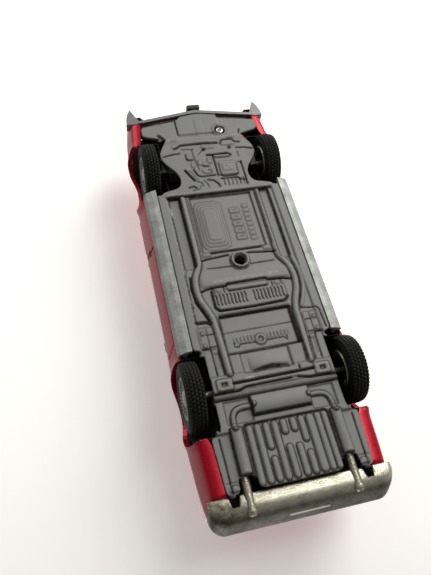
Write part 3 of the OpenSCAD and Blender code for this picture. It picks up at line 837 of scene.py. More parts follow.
def floor_relief(r):
    """Between the front wheels and the centre boss: side channels and the stepped panel."""
    for cx, hx in ((-13.7, 1.55), (12.9, 1.45)):
        r.pad(cx, -13.2, hx, 12, 0.5, -0.75, 0.25, 0.5)
        # Painted shade round the walls of each side channel
        r.soil_and_shade(np.abs(r.box(cx, -13.2, hx, 12, 0.5)), 0.45, 0.75)
    r.rub_and_highlight(r.line([(-15.7, -24), (-15.7, 12)]), 0.35, 0.55)
    r.rub_and_highlight(r.box(-15.3, -20.4, 0.45, 1.6), 0.15, 1.0)
    r.pad(-0.5, -15.2, 9.1, 9.7, 0.6, -0.28, 0.25, 0.5)
    for x, top in ((8.6, -24.2), (-9.3, -24), (10.3, -24.4), (-9.9, -24.4)):
        r.groove([(x, top), (x, -6)], 0.2, 0.2, 0.7)
    # Painted shadow of the raised wall beside the channel at negative x, cut in as a dark groove
    r.groove([(-12.2, -24.6), (-12.2, -2)], 0.3, 0.3, 0.9)
    r.groove([(-9, -24.6), (8.6, -24.6)], 0.5, 0.25, 0.75)
    for step in range(4):
        hx, hy, radius = 3.85 - 0.72 * step, 8.1 - 0.95 * step, 2 - 0.35 * step
        r.pad(-4.8, -14.5, hx, hy, radius, 0.15, 0.2, 0.4 - 0.07 * step)
    # Plain raised lozenges where a maker would put lettering
    for cy in (-18.8, -16.5, -14.2, -11.9, -9.6):
        r.pad(2.6, cy, 1.35, 0.85, 0.35, 0.18, 0.15, 0.4)
        r.pad(2.6, cy, 0.7, 0.3, 0.2, -0.12, 0.15, 0.25)
    for index in range(8):
        r.pad(6, -20 + 1.6 * index, 0.75, 0.5, 0.25, 0.15, 0.14, 0.35)
    r.ridge([(-9.2, -6), (8.8, -6.3)], 0.35, 0.2)
    r.groove([(-7.2, -5.3), (7, -5.5)], 0.35, 0.5, 0.95)
    for half in r.halves():
        half.pad(8.6, -4.9, 1, 0.5, 0.2, 0.2)
        half.groove([(10.4, -3.2), (9, -3.5), (2.8, -4.1)], 0.3, 0.42, 0.9)
        half.groove([(9.3, -0.6), (2.5, -0.4)], 0.2, 0.25, 0.75)
    x, y = STAND_HOLE
    r.disc(x, y, 2.5, 0.85, 0.12, 0.5)
    r.disc(x, y, 1.8, -4.4, 0.1, 1.0)
    r.soil_and_shade(np.abs(r.point(x, y) - 2.7), 0.35, 0.75)
    r.rub_and_highlight(np.abs(r.point(x, y) - 2.1), 0.25, 0.7)


def pipes_relief(r):
    """The two exhaust pipes, which bow out round the middle of the car, the seams beside them, and a painted
    shadow outside the pipe at negative x.
    """
    left = [
        (-11.3, -24.4), (-11.3, -2.4), (-12.1, -0.4), (-13.3, 2), (-13.7, 5.2), (-13.4, 8.4), (-12.2, 11.4),
        (-11.3, 14), (-11, 19), (-10.6, 29.2),
    ]
    right = [
        (10.9, -24.4), (10.9, -2), (11.9, -0.4), (13.1, 2), (13.5, 5.2), (13, 8.8), (11.5, 12.4),
        (10.8, 15.2), (10.7, 19), (10.3, 29.2),
    ]
    for path in (left, right):
        path = rounded(path, 1, closed=False)
        r.tube(path, 0.85, 0.62, 0.75)
        r.rub_and_highlight(r.line(path), 0.3, 0.3)
    # Painted shadow of the pipe at negative x, cut in as a dark groove along its outer side
    r.groove([(-14.6, 1.6), (-14.9, 5), (-14.5, 9), (-13.2, 12.2), (-12.3, 14.6)], 0.35, 0.4, 0.95)
    outer = [(14.4, -1.4), (15, 1), (15.4, 4.4), (15.1, 8.2), (13.9, 11.6), (12.7, 14.2)]
    outer = rounded(outer, 1, closed=False)
    r.ridge(outer, 0.45, 0.35)
    r.groove([(x - 0.75, y + 0.1) for x, y in outer], 0.22, 0.3, 0.8)
    r.ridge(rounded([(-14.4, -1.2), (-15.2, 1.4), (-15.5, 5), (-15.4, 10)], 1, closed=False), 0.4, 0.3)


def cross_member_relief(r):
    """Domed member and the twin vents behind it."""
    x, y = r.x, r.y
    dome = smoothstep(y, -0.4, 3.6) * fading(y, 4.4, 5.6)
    r.height += 0.4 * dome * fading(np.abs(x), 11.4, 12.8)
    # Painted highlight along the crest of the domed member, with some rubbing
    r.rub_and_highlight(r.line([(-9, 3.7), (9, 3.5)]), 0.8, 0.45)
    rear_edge = [(-12.6, 6.1), (-11, 5.6), (-9.7, 5.4), (-5.9, 5.3), (-5.2, 4.8)]
    rear_edge += [(5.2, 4.6), (5.9, 5.1), (9.8, 5.3), (12.4, 5.9)]
    r.groove(rear_edge, 0.3, 0.5, 0.95)
    r.pad(-0.1, 9, 9.9, 3.3, 1.5, 0.3, 0.25, 0.5)
    r.groove([(-9.9, 6.4), (-9.9, 11.2), (-8.9, 12.3), (0, 12.4), (8.7, 12), (9.9, 10.8)], 0.35, 0.45, 0.9)
    r.pad(-0.1, 6.1, 5.6, 0.78, 0.7, 0.3, 0.2, 0.5)
    r.groove([(-5.4, 7.05), (5.1, 6.95)], 0.22, 0.25, 0.85)
    for half in r.halves():
        for cx in (6.6, 9.3):
            half.groove([(cx, 5.7), (cx, 7.3)], 0.2, 0.25, 0.75)
        half.disc(8, 6.5, 0.6, 0.18)
    for x0 in (-9.1, 1.05):
        for index in range(9):
            at = x0 + 0.97 * index
            r.groove([(at - 0.1, 7.8), (at + 0.1, 8.3), (at, 10.4), (at + 0.25, 10.8)], 0.17, 0.35, 0.95)


def seat_pan_relief(r):
    """Pan under the rear seat, the spare-wheel bulge and the bolted pads beside them."""
    x, y = r.x, r.y
    r.ridge([(-9.6, 12.95), (9.4, 12.75)], 0.3, 0.15)
    r.pad(-0.1, 18.9, 9.5, 5.2, 0.4, -0.6, 0.25, 0.6)
    r.groove([(-9.4, 13.9), (9.2, 13.7)], 0.4, 0.2, 0.95)
    r.soil_and_shade(r.box(9.3, 18.9, 0.35, 5), 0.3, 0.85)
    r.groove([(-9.4, 18.4), (9.1, 18.1)], 0.16, 0.16, 0.7)
    for x0 in (-7.1, 1.8):
        for index in range(6):
            at = x0 + 0.95 * index
            r.ridge([(at, 20), (at, 21.3)], 0.22, 0.18)
            r.groove([(at + 0.47, 20), (at + 0.47, 21.2)], 0.14, 0.12, 0.4)
    r.groove([(-7.4, 21.2), (-7.5, 22.4), (-6.4, 22.6), (-6, 21.9), (-1.8, 22)], 0.18, 0.22, 0.75)
    r.groove([(1, 21.9), (5.6, 21.8), (6.4, 22.6), (6.6, 21.6)], 0.18, 0.22, 0.75)
    r.disc(-0.4, 21.4, 1.4, 0.25, dirt=0.5)
    r.disc(-0.4, 21.4, 0.75, -0.25, dirt=0.6)
    r.groove([(-9.4, 24.3), (9.3, 24)], 0.45, 0.3, 0.9)
    # Spare-wheel bulge in its shallow pan, with a painted shade crescent behind it and a painted highlight on
    # its top
    r.pad(-0.6, 27.2, 6.4, 2.9, 0.4, -0.4, 0.3, 0.55)
    reach = bulge(x, 5.2)
    slope = smoothstep(y, 24.4, 28.2) * fading(y, 28.4, 30.1)
    r.height += 0.75 * slope * reach
    r.soil_and_shade(segment_distance(x, y / 0.9, [(-4.2, 33), (0, 32.3), (4.2, 33)]) - 0.35, 0.4, 0.8)
    r.rub_and_highlight(r.point(0, 26.2), 1.2, 0.35)
    for half in r.halves():
        half.pad(14, 19.3, 1.9, 2.9, 0.2, 0.18, 0.16, 0.4)
        for cy in (17.9, 21.3):
            half.disc(14.9, cy, 0.42, 0.25, dirt=0.5)
            half.groove([(13.9, cy + 0.5), (12.2, cy + 0.5)], 0.2, 0.25, 0.85)
        half.groove([(13.8, 16.5), (13.8, 22.1)], 0.16, 0.18, 0.6)
        half.groove([(15.9, 22.1), (13.9, 22.1), (13.7, 23), (13.6, 29.2)], 0.22, 0.3, 0.85)
        half.groove([(12, 23), (11.8, 29.2)], 0.25, 0.3, 0.8)
        half.pad(12.7, 25.6, 0.6, 2.2, 0.2, -0.2, dirt=0.3)
        half.groove([(9.8, 14.2), (9.8, 29.3)], 0.25, 0.25, 0.8)
    r.groove([(-15.7, 14.7), (-12.9, 14.9), (-12.2, 15.5)], 0.5, 0.4, 0.85)
    r.groove([(12.2, 14.8), (13.8, 15), (16.3, 15.3), (16.9, 16), (17.2, 21.3)], 0.22, 0.3, 0.8)
    r.groove([(-15.8, 0.4), (-15.8, 14.6)], 0.2, 0.25, 0.7)


def axle_beam_relief(r):
    """Beam over the rear axle, with its two square pads."""
    r.pad(0, 31.6, 15.6, 1.9, 0.3, 0.3, 0.25, 0.4)
    for half in r.halves():
        half.pad(12.5, 31.9, 1.9, 1.35, 0.4, 0.25, 0.18, 0.6)
        half.pad(12.6, 31.9, 0.75, 0.5, 0.1, -0.45, 0.15, 0.8)
        half.rub_and_highlight(np.abs(half.box(12.5, 31.9, 1.7, 1.15, 0.3)), 0.3, 0.35)
    r.groove([(-10.3, 31.9), (-4, 31.8), (4, 31.7), (10.3, 31.6)], 0.4, 0.55, 1.0)
    r.rub_and_highlight(r.box(-6, 31.15, 1, 0.12), 0.3, 0.9)
    r.rub_and_highlight(r.box(5, 32.9, 0.6, 0.15), 0.3, 0.9)
    r.groove([(6.9, 30.2), (6.9, 31)], 0.25, 0.3, 0.9)
    rear_edge = [(-15.5, 33.8), (-9.3, 33.8), (-7.7, 33.2), (5.8, 33), (8.6, 33.6), (15.5, 33.8)]
    r.groove(rear_edge, 0.3, 0.45, 0.95)
    for half in r.halves():
        half.groove([(15.5, 35.3), (7.4, 35.4)], 0.28, 0.35, 0.9)


def exhaust_relief(r):
    """Silencer across the car, its bent pipes and the two tail boxes."""
    x, y = r.x, r.y
    for half in r.halves():
        half.pad(10.7, 38.6, 3.3, 2.9, 0.3, -0.3, 0.2, 0.5)
        bend = [(7, 37.7), (10.2, 37.7), (11.6, 38.3), (12.4, 39.6), (12.5, 42.4)]
        path = rounded(bend, 2, closed=False)
        half.tube(path, 0.62, 0.55, 0.8)
    # Silencer across the car, with grime and a painted shadow along its rear side
    along = np.abs(x) - 7.3
    body = bulge(y - 37.8, 2.45)
    r.height += 1.15 * body * fading(along, -0.3, 0.15)
    r.soil_and_shade(np.abs(r.box(0, 37.8, 7.35, 2.5, 0.3)), 0.35, 0.9)
    r.soil_and_shade(r.line([(-7.2, 40.1), (7.2, 40.1)]), 0.55, 0.85)
    r.rub_and_highlight(r.line([(-6.9, 36.6), (-6.9, 37.4)]), 0.3, 0.9)
    for half in r.halves():
        cx = 12.4
        wide = bulge(half.x - cx, 1.4)
        half.height += 0.95 * wide * fading(np.abs(y - 47.6) - 5.2, -0.25, 0.2)
        half.soil_and_shade(np.abs(half.box(cx, 47.6, 1.5, 5.4, 0.4)), 0.38, 0.85)
        half.rub_and_highlight(half.point(cx, 52), 0.5, 0.8)
        half.groove([(16.6, 44), (16.3, 56.2)], 0.22, 0.3, 0.85)
        from_end = half.point(15.5, 55.7)
        half.shape(np.maximum(from_end - 1.1, y - 55.8), 0.3, 0.18, 0.55)
        half.groove([(17.2, 53.9), (14.7, 53.9)], 0.16, 0.15, 0.4)


def tank_relief(r):
    """Ribbed floor of the fuel tank: long ribs, and four ribs broken in the middle."""
    x, y = r.x, r.y
    r.pad(0, 49.2, 10.4, 7.3, 0.8, -0.25, 0.25, 0.7)
    r.soil_and_shade(np.abs(r.box(0, 49.2, 10.4, 7.3, 0.8)), 0.5, 0.9)
    top, bottom = 42.3, 55.9
    ribs = [(at, 0.72, top, bottom) for at in (-9.3, -7.3, -3.1, 7.7, 9.4)] + [(5.75, 0.95, top, bottom)]
    for at, above, below in ((-5.2, 48.6, 50.2), (-0.95, 45.8, 48.2), (1.45, 45.6, 48.4), (3.5, 48.4, 50.4)):
        ribs += [(at, 0.72, top, above), (at, 0.72, below, bottom)]
    for at, half, y0, y1 in ribs:
        distance = r.line([(at, y0 + half), (at, y1 - half)]) - half
        r.height += 0.42 * fading(distance, -0.35, 0.18)
        r.soil_and_shade(np.abs(distance - 0.14), 0.26, 0.8)
        r.rub_and_highlight(np.abs(distance + 0.3), 0.2, 0.12)


def make_base():
    """The grey base: one relief over a fine grid, trimmed to its outline."""
    low, high = node_box("base_plate")
    xs = np.arange(low[0] - 0.4, high[0] + 0.4, BASE_PITCH)
    ys = np.arange(low[1] - 0.4, high[1] + 0.6, BASE_PITCH)
    x, y = np.meshgrid(xs, ys, indexing="ij")
    r = Relief(x, y)
    for part in (
        base_levels, nose_relief, engine_relief, floor_relief, pipes_relief, cross_member_relief,
        seat_pan_relief, axle_beam_relief, exhaust_relief, tank_relief,
    ):
        part(r)
    z = np.clip(low[2] + BASE_LEVEL - BASE_RELIEF * r.height, low[2] + 0.02, BASE_TOP)
    outline = polygon_distance(x, y, BASE_OUTLINE)
    r.soil_and_shade(np.abs(outline), 0.15, 0.3)
    vertices, quads, used = trimmed(np.stack([x, y, z], -1), outline)
    layers = {"dirt": np.clip(r.dirt, 0, 1).ravel()[used], "wear_and_highlight": np.clip(r.wear_and_highlight, 0, 1).ravel()[used]}
    base = new_object("base_relief", vertices, quads[:, ::-1], PLASTIC, layers=layers)
    walled(base, 1.1)
    place(base, "root", ["base_plate"])


make_base()


# ---------------------------------------------------------------- wheels

AROUND = 336
TREAD_ROWS, TREAD_BLOCKS, TREAD_DEPTH = 5, 56, 0.5
WALL_RIBS = 72
RIM_FLUTES, FACE_SLOTS = 36, 12


def revolved(name, profile, material, shift):
    """A ring of revolution about X from an (x, r) profile, sampled AROUND times.

    shift(x, r, angle) moves the points and returns (x, r, layers).
    """
    angle = np.linspace(0, 2 * math.pi, AROUND, endpoint=False)
    a = np.repeat(angle[:, None], len(profile), 1)
    x, r = np.array(profile).T
    x, r, layers = shift(np.tile(x, (AROUND, 1)), np.tile(r, (AROUND, 1)), a)
    return grid_object(name, np.stack([x, r * np.cos(a), r * np.sin(a)], -1), material, layers, wrapped=True)


def spun(name, profile, material, centre, around, layers=None, ripple=0.0):
    """A ring of revolution about an upright axis through centre, from an (r, z) profile."""
    angle = np.linspace(0, 2 * math.pi, around, endpoint=False)
    a = np.repeat(angle[:, None], len(profile), 1)
    r, z = np.array(profile).T
    points = np.stack([centre[0] + r * np.cos(a), centre[1] + r * np.sin(a), z + ripple * np.sin(3 * a)], -1)
    return grid_object(name, points, material, layers, wrapped=True)


def resampled(points, step):
    """Points every step millimetres along a polyline, with its corners kept."""
    made = []
    for (ax, ay), (bx, by) in zip(points, points[1:]):
        count = max(1, round(math.hypot(bx - ax, by - ay) / step))
        made += [(ax + (bx - ax) * i / count, ay + (by - ay) * i / count) for i in range(count)]
    return made + [points[-1]]


def tyre_profile(outer, inner, half):
    """Section of a tyre from its inner bead round the tread to its outer bead."""
    crown = [(-half + 0.05, outer - 1.6), (-half + 0.12, outer - 0.95), (-half + 0.42, outer - 0.42)]
    tread = [(x * (half - 0.7), outer - 0.28 * abs(x) ** 2.5) for x in np.linspace(-1, 1, 9)]
    wall = [(-half + 0.55, inner), (-half + 0.25, inner + 0.25), (-half + 0.05, inner + 1.1)]
    side = wall + crown
    return resampled(side + tread + [(-x, r) for x, r in reversed(side)], 0.16)


def make_tyre(name, body, at, half, outer, inner):
    """A tyre with staggered rows of tread blocks and fine ribs round its walls."""

    def tread(x, r, a):
        width = 2 * (half - 0.25)
        u = (x / width + 0.5) * TREAD_ROWS
        row = np.clip(np.floor(u), 0, TREAD_ROWS - 1)
        across = np.abs(u - row - 0.5) * 2
        turn = a / (2 * math.pi) * TREAD_BLOCKS + 0.5 * (row % 2) + 0.22 * (u - row)
        around = np.abs(turn - np.floor(turn) - 0.5) * 2
        on_tread = smoothstep(r, outer - 1.5, outer - 0.9)
        gap = np.maximum(smoothstep(across, 0.56, 0.84), smoothstep(around, 0.56, 0.84))
        rib = 0.05 * np.sin(a * WALL_RIBS) * (1 - on_tread) * smoothstep(r, inner + 1.6, inner + 2)
        # Painted highlight: the tops of the tread blocks are lighter than the gaps, and a faint dusting lies
        # everywhere
        return x, r - TREAD_DEPTH * (gap * on_tread) + rib, {"dust": 0.3 * on_tread * (1 - gap) + 0.06}

    piece = revolved(name + "_tread", tyre_profile(outer, inner, half), RUBBER, tread)
    piece.location = Vector(at) * MM
    place(piece, body, [name])


def make_hub(name, body, at, half, radius, side):
    """Cast hub: dished face with short flutes round its rim and a domed cap, facing away from the car."""
    back = [(0.9, 1.0), (0.5, 2), (0.5, radius - 0.7), (0, radius - 0.3), (0, radius)]
    rim = [(0.35, 0), (0.05, 0.2), (0.05, 0.45), (0.5, 0.8), (0.75, 1.2), (0.7, 2), (1.1, 2.3)]
    cap = [(1.15, 2.3), (0.55, 2.05), (0.2, 1.7), (0.05, 1.1), (0, 0.5), (0, 0.02)]
    face = [(-half + x, r) for x, r in back] + [(half - x, radius - r) for x, r in rim]
    face += [(half - x, r) for x, r in cap]

    def flutes(x, r, a):
        band = smoothstep(r, radius - 2.1, radius - 1.7) * fading(r, radius - 0.5, radius - 0.2)
        wave = 0.5 + 0.5 * np.cos(a * RIM_FLUTES)
        spokes = smoothstep(r, 2.5, 2.9) * fading(r, radius - 2.2, radius - 2)
        slots = 0.5 + 0.5 * np.cos(a * FACE_SLOTS)
        x = x - band * 0.5 * (1 - wave) ** 1.5 - spokes * 0.3 * slots
        # Painted shade: the back of the hub, inside the wheel, is made fully dark, and the flute and slot
        # hollows darker
        shaded_back = (x < 1 - half) * (r < radius - 0.2)
        return x, r, {"dirt": np.clip(band * (1 - wave) ** 2 + spokes * slots * 0.7 + shaded_back, 0, 1)}

    piece = revolved(name + "_cast", resampled(face, 0.2), HUB, flutes)
    turn = Matrix.Identity(4) if side > 0 else Matrix.Rotation(math.pi, 4, "Z")
    piece.matrix_world = Matrix.Translation(Vector(at) * MM) @ turn
    place(piece, body, [name])


def make_wheels():
    """Four wheels, each sized and placed from its CAD tyre and hub."""
    for end in ("front", "rear"):
        for side, hand in SIDES:
            tyre, hub, body = f"{end}_tyre_{hand}", f"{end}_hub_{hand}", f"{end}_wheels"
            low, high = node_box(tyre)
            hub_low, hub_high = node_box(hub)
            half, hub_half = (high - low) / 2, (hub_high - hub_low) / 2
            make_tyre(tyre, body, (low + high) / 2, half[0], half[2], hub_half[2])
            make_hub(hub, body, (hub_low + hub_high) / 2, hub_half[0], hub_half[2], side)


make_wheels()


# ---------------------------------------------------------------- painted casting

BOTTOM_Z = 6.4
ARCHES = ((-37.9, 8.85), (33.0, 8.85))
ARCH_R = 10.25
HINGE = (22.2, -11.9)
DOOR = [(HINGE[1], 7.6), (17.8, 7.6), (19.4, 13.5), (18.6, 21), (HINGE[1], 21)]
DOOR_GAP = 0.25
LAMP_BAYS = (13.5, -55.95, 5.2, 4.95)
ROLL_PASSES = 9
# A field value well outside every opening
SOLID = -9.0

TOP_LINE = curve_through([
    (-64, 17.2), (-62, 17.8), (-60, 18.6), (-57, 19.3), (-48, 20.2), (-40, 20.9), (-25, 21.8), (-12, 22.4),
    (4, 22.7), (20, 22.8), (40, 22.4), (50, 21.7), (57, 20.7), (61.2, 19.4), (63, 18.6),
])
HALF_WIDTH = curve_through([
    (-64, 19.6), (-62.6, 20.5), (-61.4, 21.2), (-58, 22), (-54, 22.6), (-46, 23.15), (-38, 23.3), (-24, 23.1),
    (12, 23.1), (28, 23.3), (38, 23.3), (50, 22.9), (58, 22.2), (62, 20.9), (63, 20.2),
])
SECTION_X = curve_through([
    (0, 0.925), (0.073, 0.955), (0.169, 0.985), (0.237, 1.0), (0.318, 0.984), (0.393, 0.93), (0.476, 0.82),
    (0.785, 0.336), (1, 0),
])
SECTION_Z = curve_through([
    (0, 0), (0.073, 0.157), (0.169, 0.367), (0.237, 0.518), (0.318, 0.699), (0.393, 0.85), (0.476, 0.945),
    (0.785, 0.99), (1, 1),
])
# How far the lower edge is turned in under the car, along its length
TURN_IN = curve_through([
    (-62, 1), (-56, 2.6), (-48, 2.2), (-30, 0.5), (24, 0.5), (42, 2.4), (46, 3.1), (56, 3.1), (62, 1),
])
# y of the nose and of the tail, by half width in plan and by height from the side
NOSE_PLAN = curve_through([
    (0, -60), (9, -61.1), (17.5, -62.2), (19.6, -62.5), (21.2, -61.2), (22.6, -54), (24, -46),
])
NOSE_SIDE = curve_through([
    (6, -59.6), (9.5, -61.4), (13, -62.6), (16, -62.5), (17.6, -62), (18.6, -60), (19.4, -56), (24, -50),
])
TAIL_PLAN = curve_through([(0, 62), (16, 61.95), (20.5, 61.4), (22.2, 58), (23, 50), (24, 40)])
TAIL_SIDE = curve_through([(6, 56.6), (9.5, 60.6), (15, 62), (18, 61.8), (19.6, 61), (21.2, 56), (24, 48)])


def larger(a, b, soft=0.5):
    """The larger of a and b, with a blend of about soft where they are close."""
    return 0.5 * (a + b + np.sqrt((a - b) ** 2 + soft**2)) - soft / 2 * np.exp(-((a - b) ** 2))


def body_surface(t, y):
    """(x, z) of the lower body's left half: t runs from its lower edge at 0 to the centre line at 1."""
    return SECTION_X(t) * HALF_WIDTH(y), BOTTOM_Z + SECTION_Z(t) * (TOP_LINE(y) - BOTTOM_Z)


def flared(x, y, z, lip=0.36, spread=1.1):
    """Pushes the skin out a little round the wheel arches."""
    for arch_y, arch_z in ARCHES:
        reach = np.hypot(y - arch_y, z - arch_z)
        rise = lip * np.exp(-(((reach - ARCH_R) / spread) ** 2))
        x = x + np.sign(x) * (rise * smoothstep(np.abs(x), 17, 20) * fading(z, 16.5, 19))
    return x


def deck_point(x, y, lift):
    """A point just above the bonnet or boot skin at (x, y)."""
    t = np.linspace(0.24, 1, 200)
    z = np.interp(abs(x) / float(HALF_WIDTH(y)), SECTION_X(t)[::-1], SECTION_Z(t)[::-1])
    return (x, y, BOTTOM_Z + z * (float(TOP_LINE(y)) - BOTTOM_Z) + lift)


def flank_width(y, z, t):
    """Half width of the body's side at (y, z), looked up among the section positions t."""
    at = np.interp((z - BOTTOM_Z) / (TOP_LINE(y) - BOTTOM_Z), SECTION_Z(t), t)
    return SECTION_X(at) * HALF_WIDTH(y)


def wire(name, points, radius, material):
    """A thin round strip of the body through millimetre points."""
    curve = bpy.data.curves.new(name, "CURVE")
    curve.dimensions = "3D"
    curve.bevel_depth = radius * MM
    curve.bevel_resolution = 2
    curve.use_fill_caps = True
    spline = curve.splines.new("POLY")
    spline.points.add(len(points) - 1)
    for knot, point in zip(spline.points, points):
        knot.co = (*(Vector(point) * MM), 1)
    curve.materials.append(material)
    made = bpy.data.objects.new(name, curve)
    bpy.context.scene.collection.objects.link(made)
    place(made, "root")


def onto_arches(points, near=0.7):
    """Moves points that lie close to a wheel arch's edge exactly onto it."""
    points = points.copy()
    for arch_y, arch_z in ARCHES:
        y, z = points[..., 1] - arch_y, points[..., 2] - arch_z
        reach = np.hypot(y, z)
        close = (np.abs(reach - ARCH_R) < near) & (np.abs(points[..., 0]) > 13)
        # Points below the arch's centre slide along the car, and those above it along the arch's radius
        low, high = close & (z < 1), close & (z >= 1)
        along = arch_y + np.sign(y) * np.sqrt(np.maximum(ARCH_R**2 - z**2, 0))
        points[..., 1] = np.select([low, high], [along, arch_y + y * ARCH_R / reach], points[..., 1])
        points[..., 2] = np.where(high, arch_z + z * ARCH_R / reach, points[..., 2])
        # Their x follows from the flank's own section, or the lip would waver
        y, z, side = points[..., 1], points[..., 2], np.sign(points[..., 0])
        wide = flared(side * flank_width(y, z, np.linspace(0, 0.4, 400)), y, z)
        points[..., 0] = np.where(close & (z > BOTTOM_Z + 2.2), wide, points[..., 0])
    return points


def cast_skin(name, points, field, layers, body, replaces=(), wall=1.2, snap=None):
    """A painted skin trimmed to field, with the casting's thickness and an inside in a darker red, which is
    painted shade.
    """
    vertices, quads, used = trimmed(points, field, snap)
    normals = grid_normals(points).reshape(-1, 3)[used]
    made, faces, index, source = thickened(vertices, normals, quads, wall)
    kept = {key: np.clip(value, 0, 1).ravel()[used][source] for key, value in layers.items()}
    skin = new_object(name, made, faces, PAINT, layers=kept)
    skin.data.materials.append(SHADED_INSIDE)
    skin.data.polygons.foreach_set("material_index", index.tolist())
    place(skin, body, replaces)


def lower_grid():
    """Grid of the lower body: sections from one turned-in edge over the top to the other, all along the car.

    The rings at both ends shrink inwards, which closes the nose and the tail.
    """
    rings = np.linspace(0.06, 1, 16)[:-1]
    along = np.arange(-62.6, 62.05, 0.55)
    stations = np.concatenate([np.full(len(rings), along[0]), along, np.full(len(rings), along[-1])])
    shrink = np.concatenate([rings, np.ones(len(along)), rings[::-1]])[:, None]
    t, y = np.meshgrid(np.linspace(0, 1, 84), stations)
    x, z = body_surface(t, y)
    turned = np.linspace(0, 1, 6)[:-1]
    edge_x = x[:, :1] - TURN_IN(y[:, :1]) * (1 - turned) ** 0.85
    x = np.concatenate([edge_x, x], 1)
    z = np.concatenate([np.full(edge_x.shape, BOTTOM_Z), z], 1)
    # The flank rolls under the car instead of creasing
    for _ in range(ROLL_PASSES):
        for grid in (x, z):
            grid[:, 1:16] = (grid[:, :15] + 2 * grid[:, 1:16] + grid[:, 2:17]) / 4
    x, z = np.concatenate([x, -x[:, -2::-1]], 1), np.concatenate([z, z[:, -2::-1]], 1)
    return x * shrink, np.repeat(stations[:, None], x.shape[1], 1), 13 + (z - 13) * shrink


def shaped_ends(x, y, z):
    """Rounds the nose and tail, and sinks the grille's mouth and the tail panel.

    Returns y, z and how far each point is inside the mouth, from 0 to 1.
    """
    # The lower edge steps up behind both bumpers
    z = np.maximum(z, BOTTOM_Z + 3.2 * smoothstep(-y, 56.9, 57.5) + 1.7 * smoothstep(y, 56.1, 56.7))
    y = larger(y, larger(NOSE_PLAN(np.abs(x)), NOSE_SIDE(z)))
    y = -larger(-y, larger(-TAIL_PLAN(np.abs(x)), -TAIL_SIDE(z)))
    mouth = np.maximum(np.abs(x) - 17.1, np.abs(z - 12) - 2.5)
    in_mouth = (y < -55) * fading(mouth, -0.3, 0.1)
    y = y + in_mouth * np.maximum(0, -58.2 - y)
    panel = np.maximum(np.abs(x) - 17.6, np.abs(z - 14.3) - 2.9)
    return np.where((y > 58) & (panel < 0), np.minimum(y, 61.2), y), z, in_mouth


def make_lower_body():
    """The casting below the windows, open at the wheel arches, doors, cabin and lamp bays."""
    x, y, z = lower_grid()
    y, z, in_mouth = shaped_ends(x, y, z)
    x = flared(x, y, z)
    arch = np.maximum.reduce([ARCH_R - np.hypot(y - arch_y, z - arch_z) for arch_y, arch_z in ARCHES])
    arch = np.where(np.abs(x) > 14, np.maximum(arch, SOLID), SOLID)
    door = DOOR_GAP - polygon_distance(y, z, DOOR)
    barrel = -box_distance(y, z, HINGE[1], 14.5, 1.05, 3.45)
    door = np.where((np.abs(x) > 15) & (z < 21.4), np.maximum(door, barrel), SOLID)
    cabin = -polygon_distance(x, y, rounded(CABIN_PLAN, 2)) - 0.6
    bays = np.where(z > 16.6, -box_distance(np.abs(x), y, *LAMP_BAYS, 0.3), SOLID)
    field = np.maximum.reduce([arch, door, cabin, bays])
    chipped = np.exp(-np.abs(arch) / 0.35) * (0.25 + 0.75 * (y > 38)) * (z < 12)
    chipped = np.maximum(chipped, 0.12 * np.exp(-np.abs(door) / 0.2))
    # Painted shade: the sunk grille mouth and the underside of the nose get a near-black colour
    shaded_under_nose = (y < -56.5) * (z < 9.75) * (np.abs(x) < 17.5)
    layers = {"recess_shade": np.maximum(in_mouth, shaded_under_nose), "edge": chipped}
    cast_skin("body_lower", np.stack([x, y, z], -1), field, layers, "root", ["body_shell"], snap=onto_arches)


CABIN_PLAN = mirrored([
    (0, -15), (10, -14), (16.5, -11.5), (19.2, -4), (19.2, 20), (18.4, 34), (15.6, 48), (13.4, 53.6), (0, 54),
])
ROOF_LINE = curve_through([
    (-16, 20), (-13.6, 22.2), (-9, 26.2), (-4, 30.1), (-1.5, 30.95), (1, 31.3), (4.5, 31.58), (8, 31.66),
    (12, 31.58), (16, 31.3), (20, 30.7), (25, 29.6), (32, 27.8), (40, 25.6), (47, 23.7), (54, 21.8), (58, 20.6),
])
CABIN_WIDE = 19.2
CABIN_HALF = curve_through([
    (-16, 18.6), (-8, 19.1), (-4, CABIN_WIDE), (20, CABIN_WIDE), (34, 18.4), (48, 15.6), (57, 12.5),
])
PILLAR_LINE = curve_through([
    (0, 31.68), (7, 31.5), (11, 31.2), (13.6, 30.6), (15.8, 29.2), (17.5, 25.8), (19, 22.4), (19.25, 18),
])
CABIN_FOOT = 21.2
WINDSCREEN = [(-16.2, 23), (16.2, 23), (13.4, 29.5), (11.8, 30), (-11.8, 30), (-13.4, 29.5)]
SIDE_GLASS = [(-9.6, 23), (18.4, 23), (18.6, 29.3), (-0.5, 29.5), (-3.4, 28.6)]
QUARTER_GLASS = [(20, 23), (28.5, 23.4), (26.8, 26.2), (24, 28.2), (20.2, 29)]
REAR_GLASS = mirrored([(0, 26.5), (11.8, 26.5), (12.6, 30), (11.4, 43), (10, 44.5), (0, 44.5)])


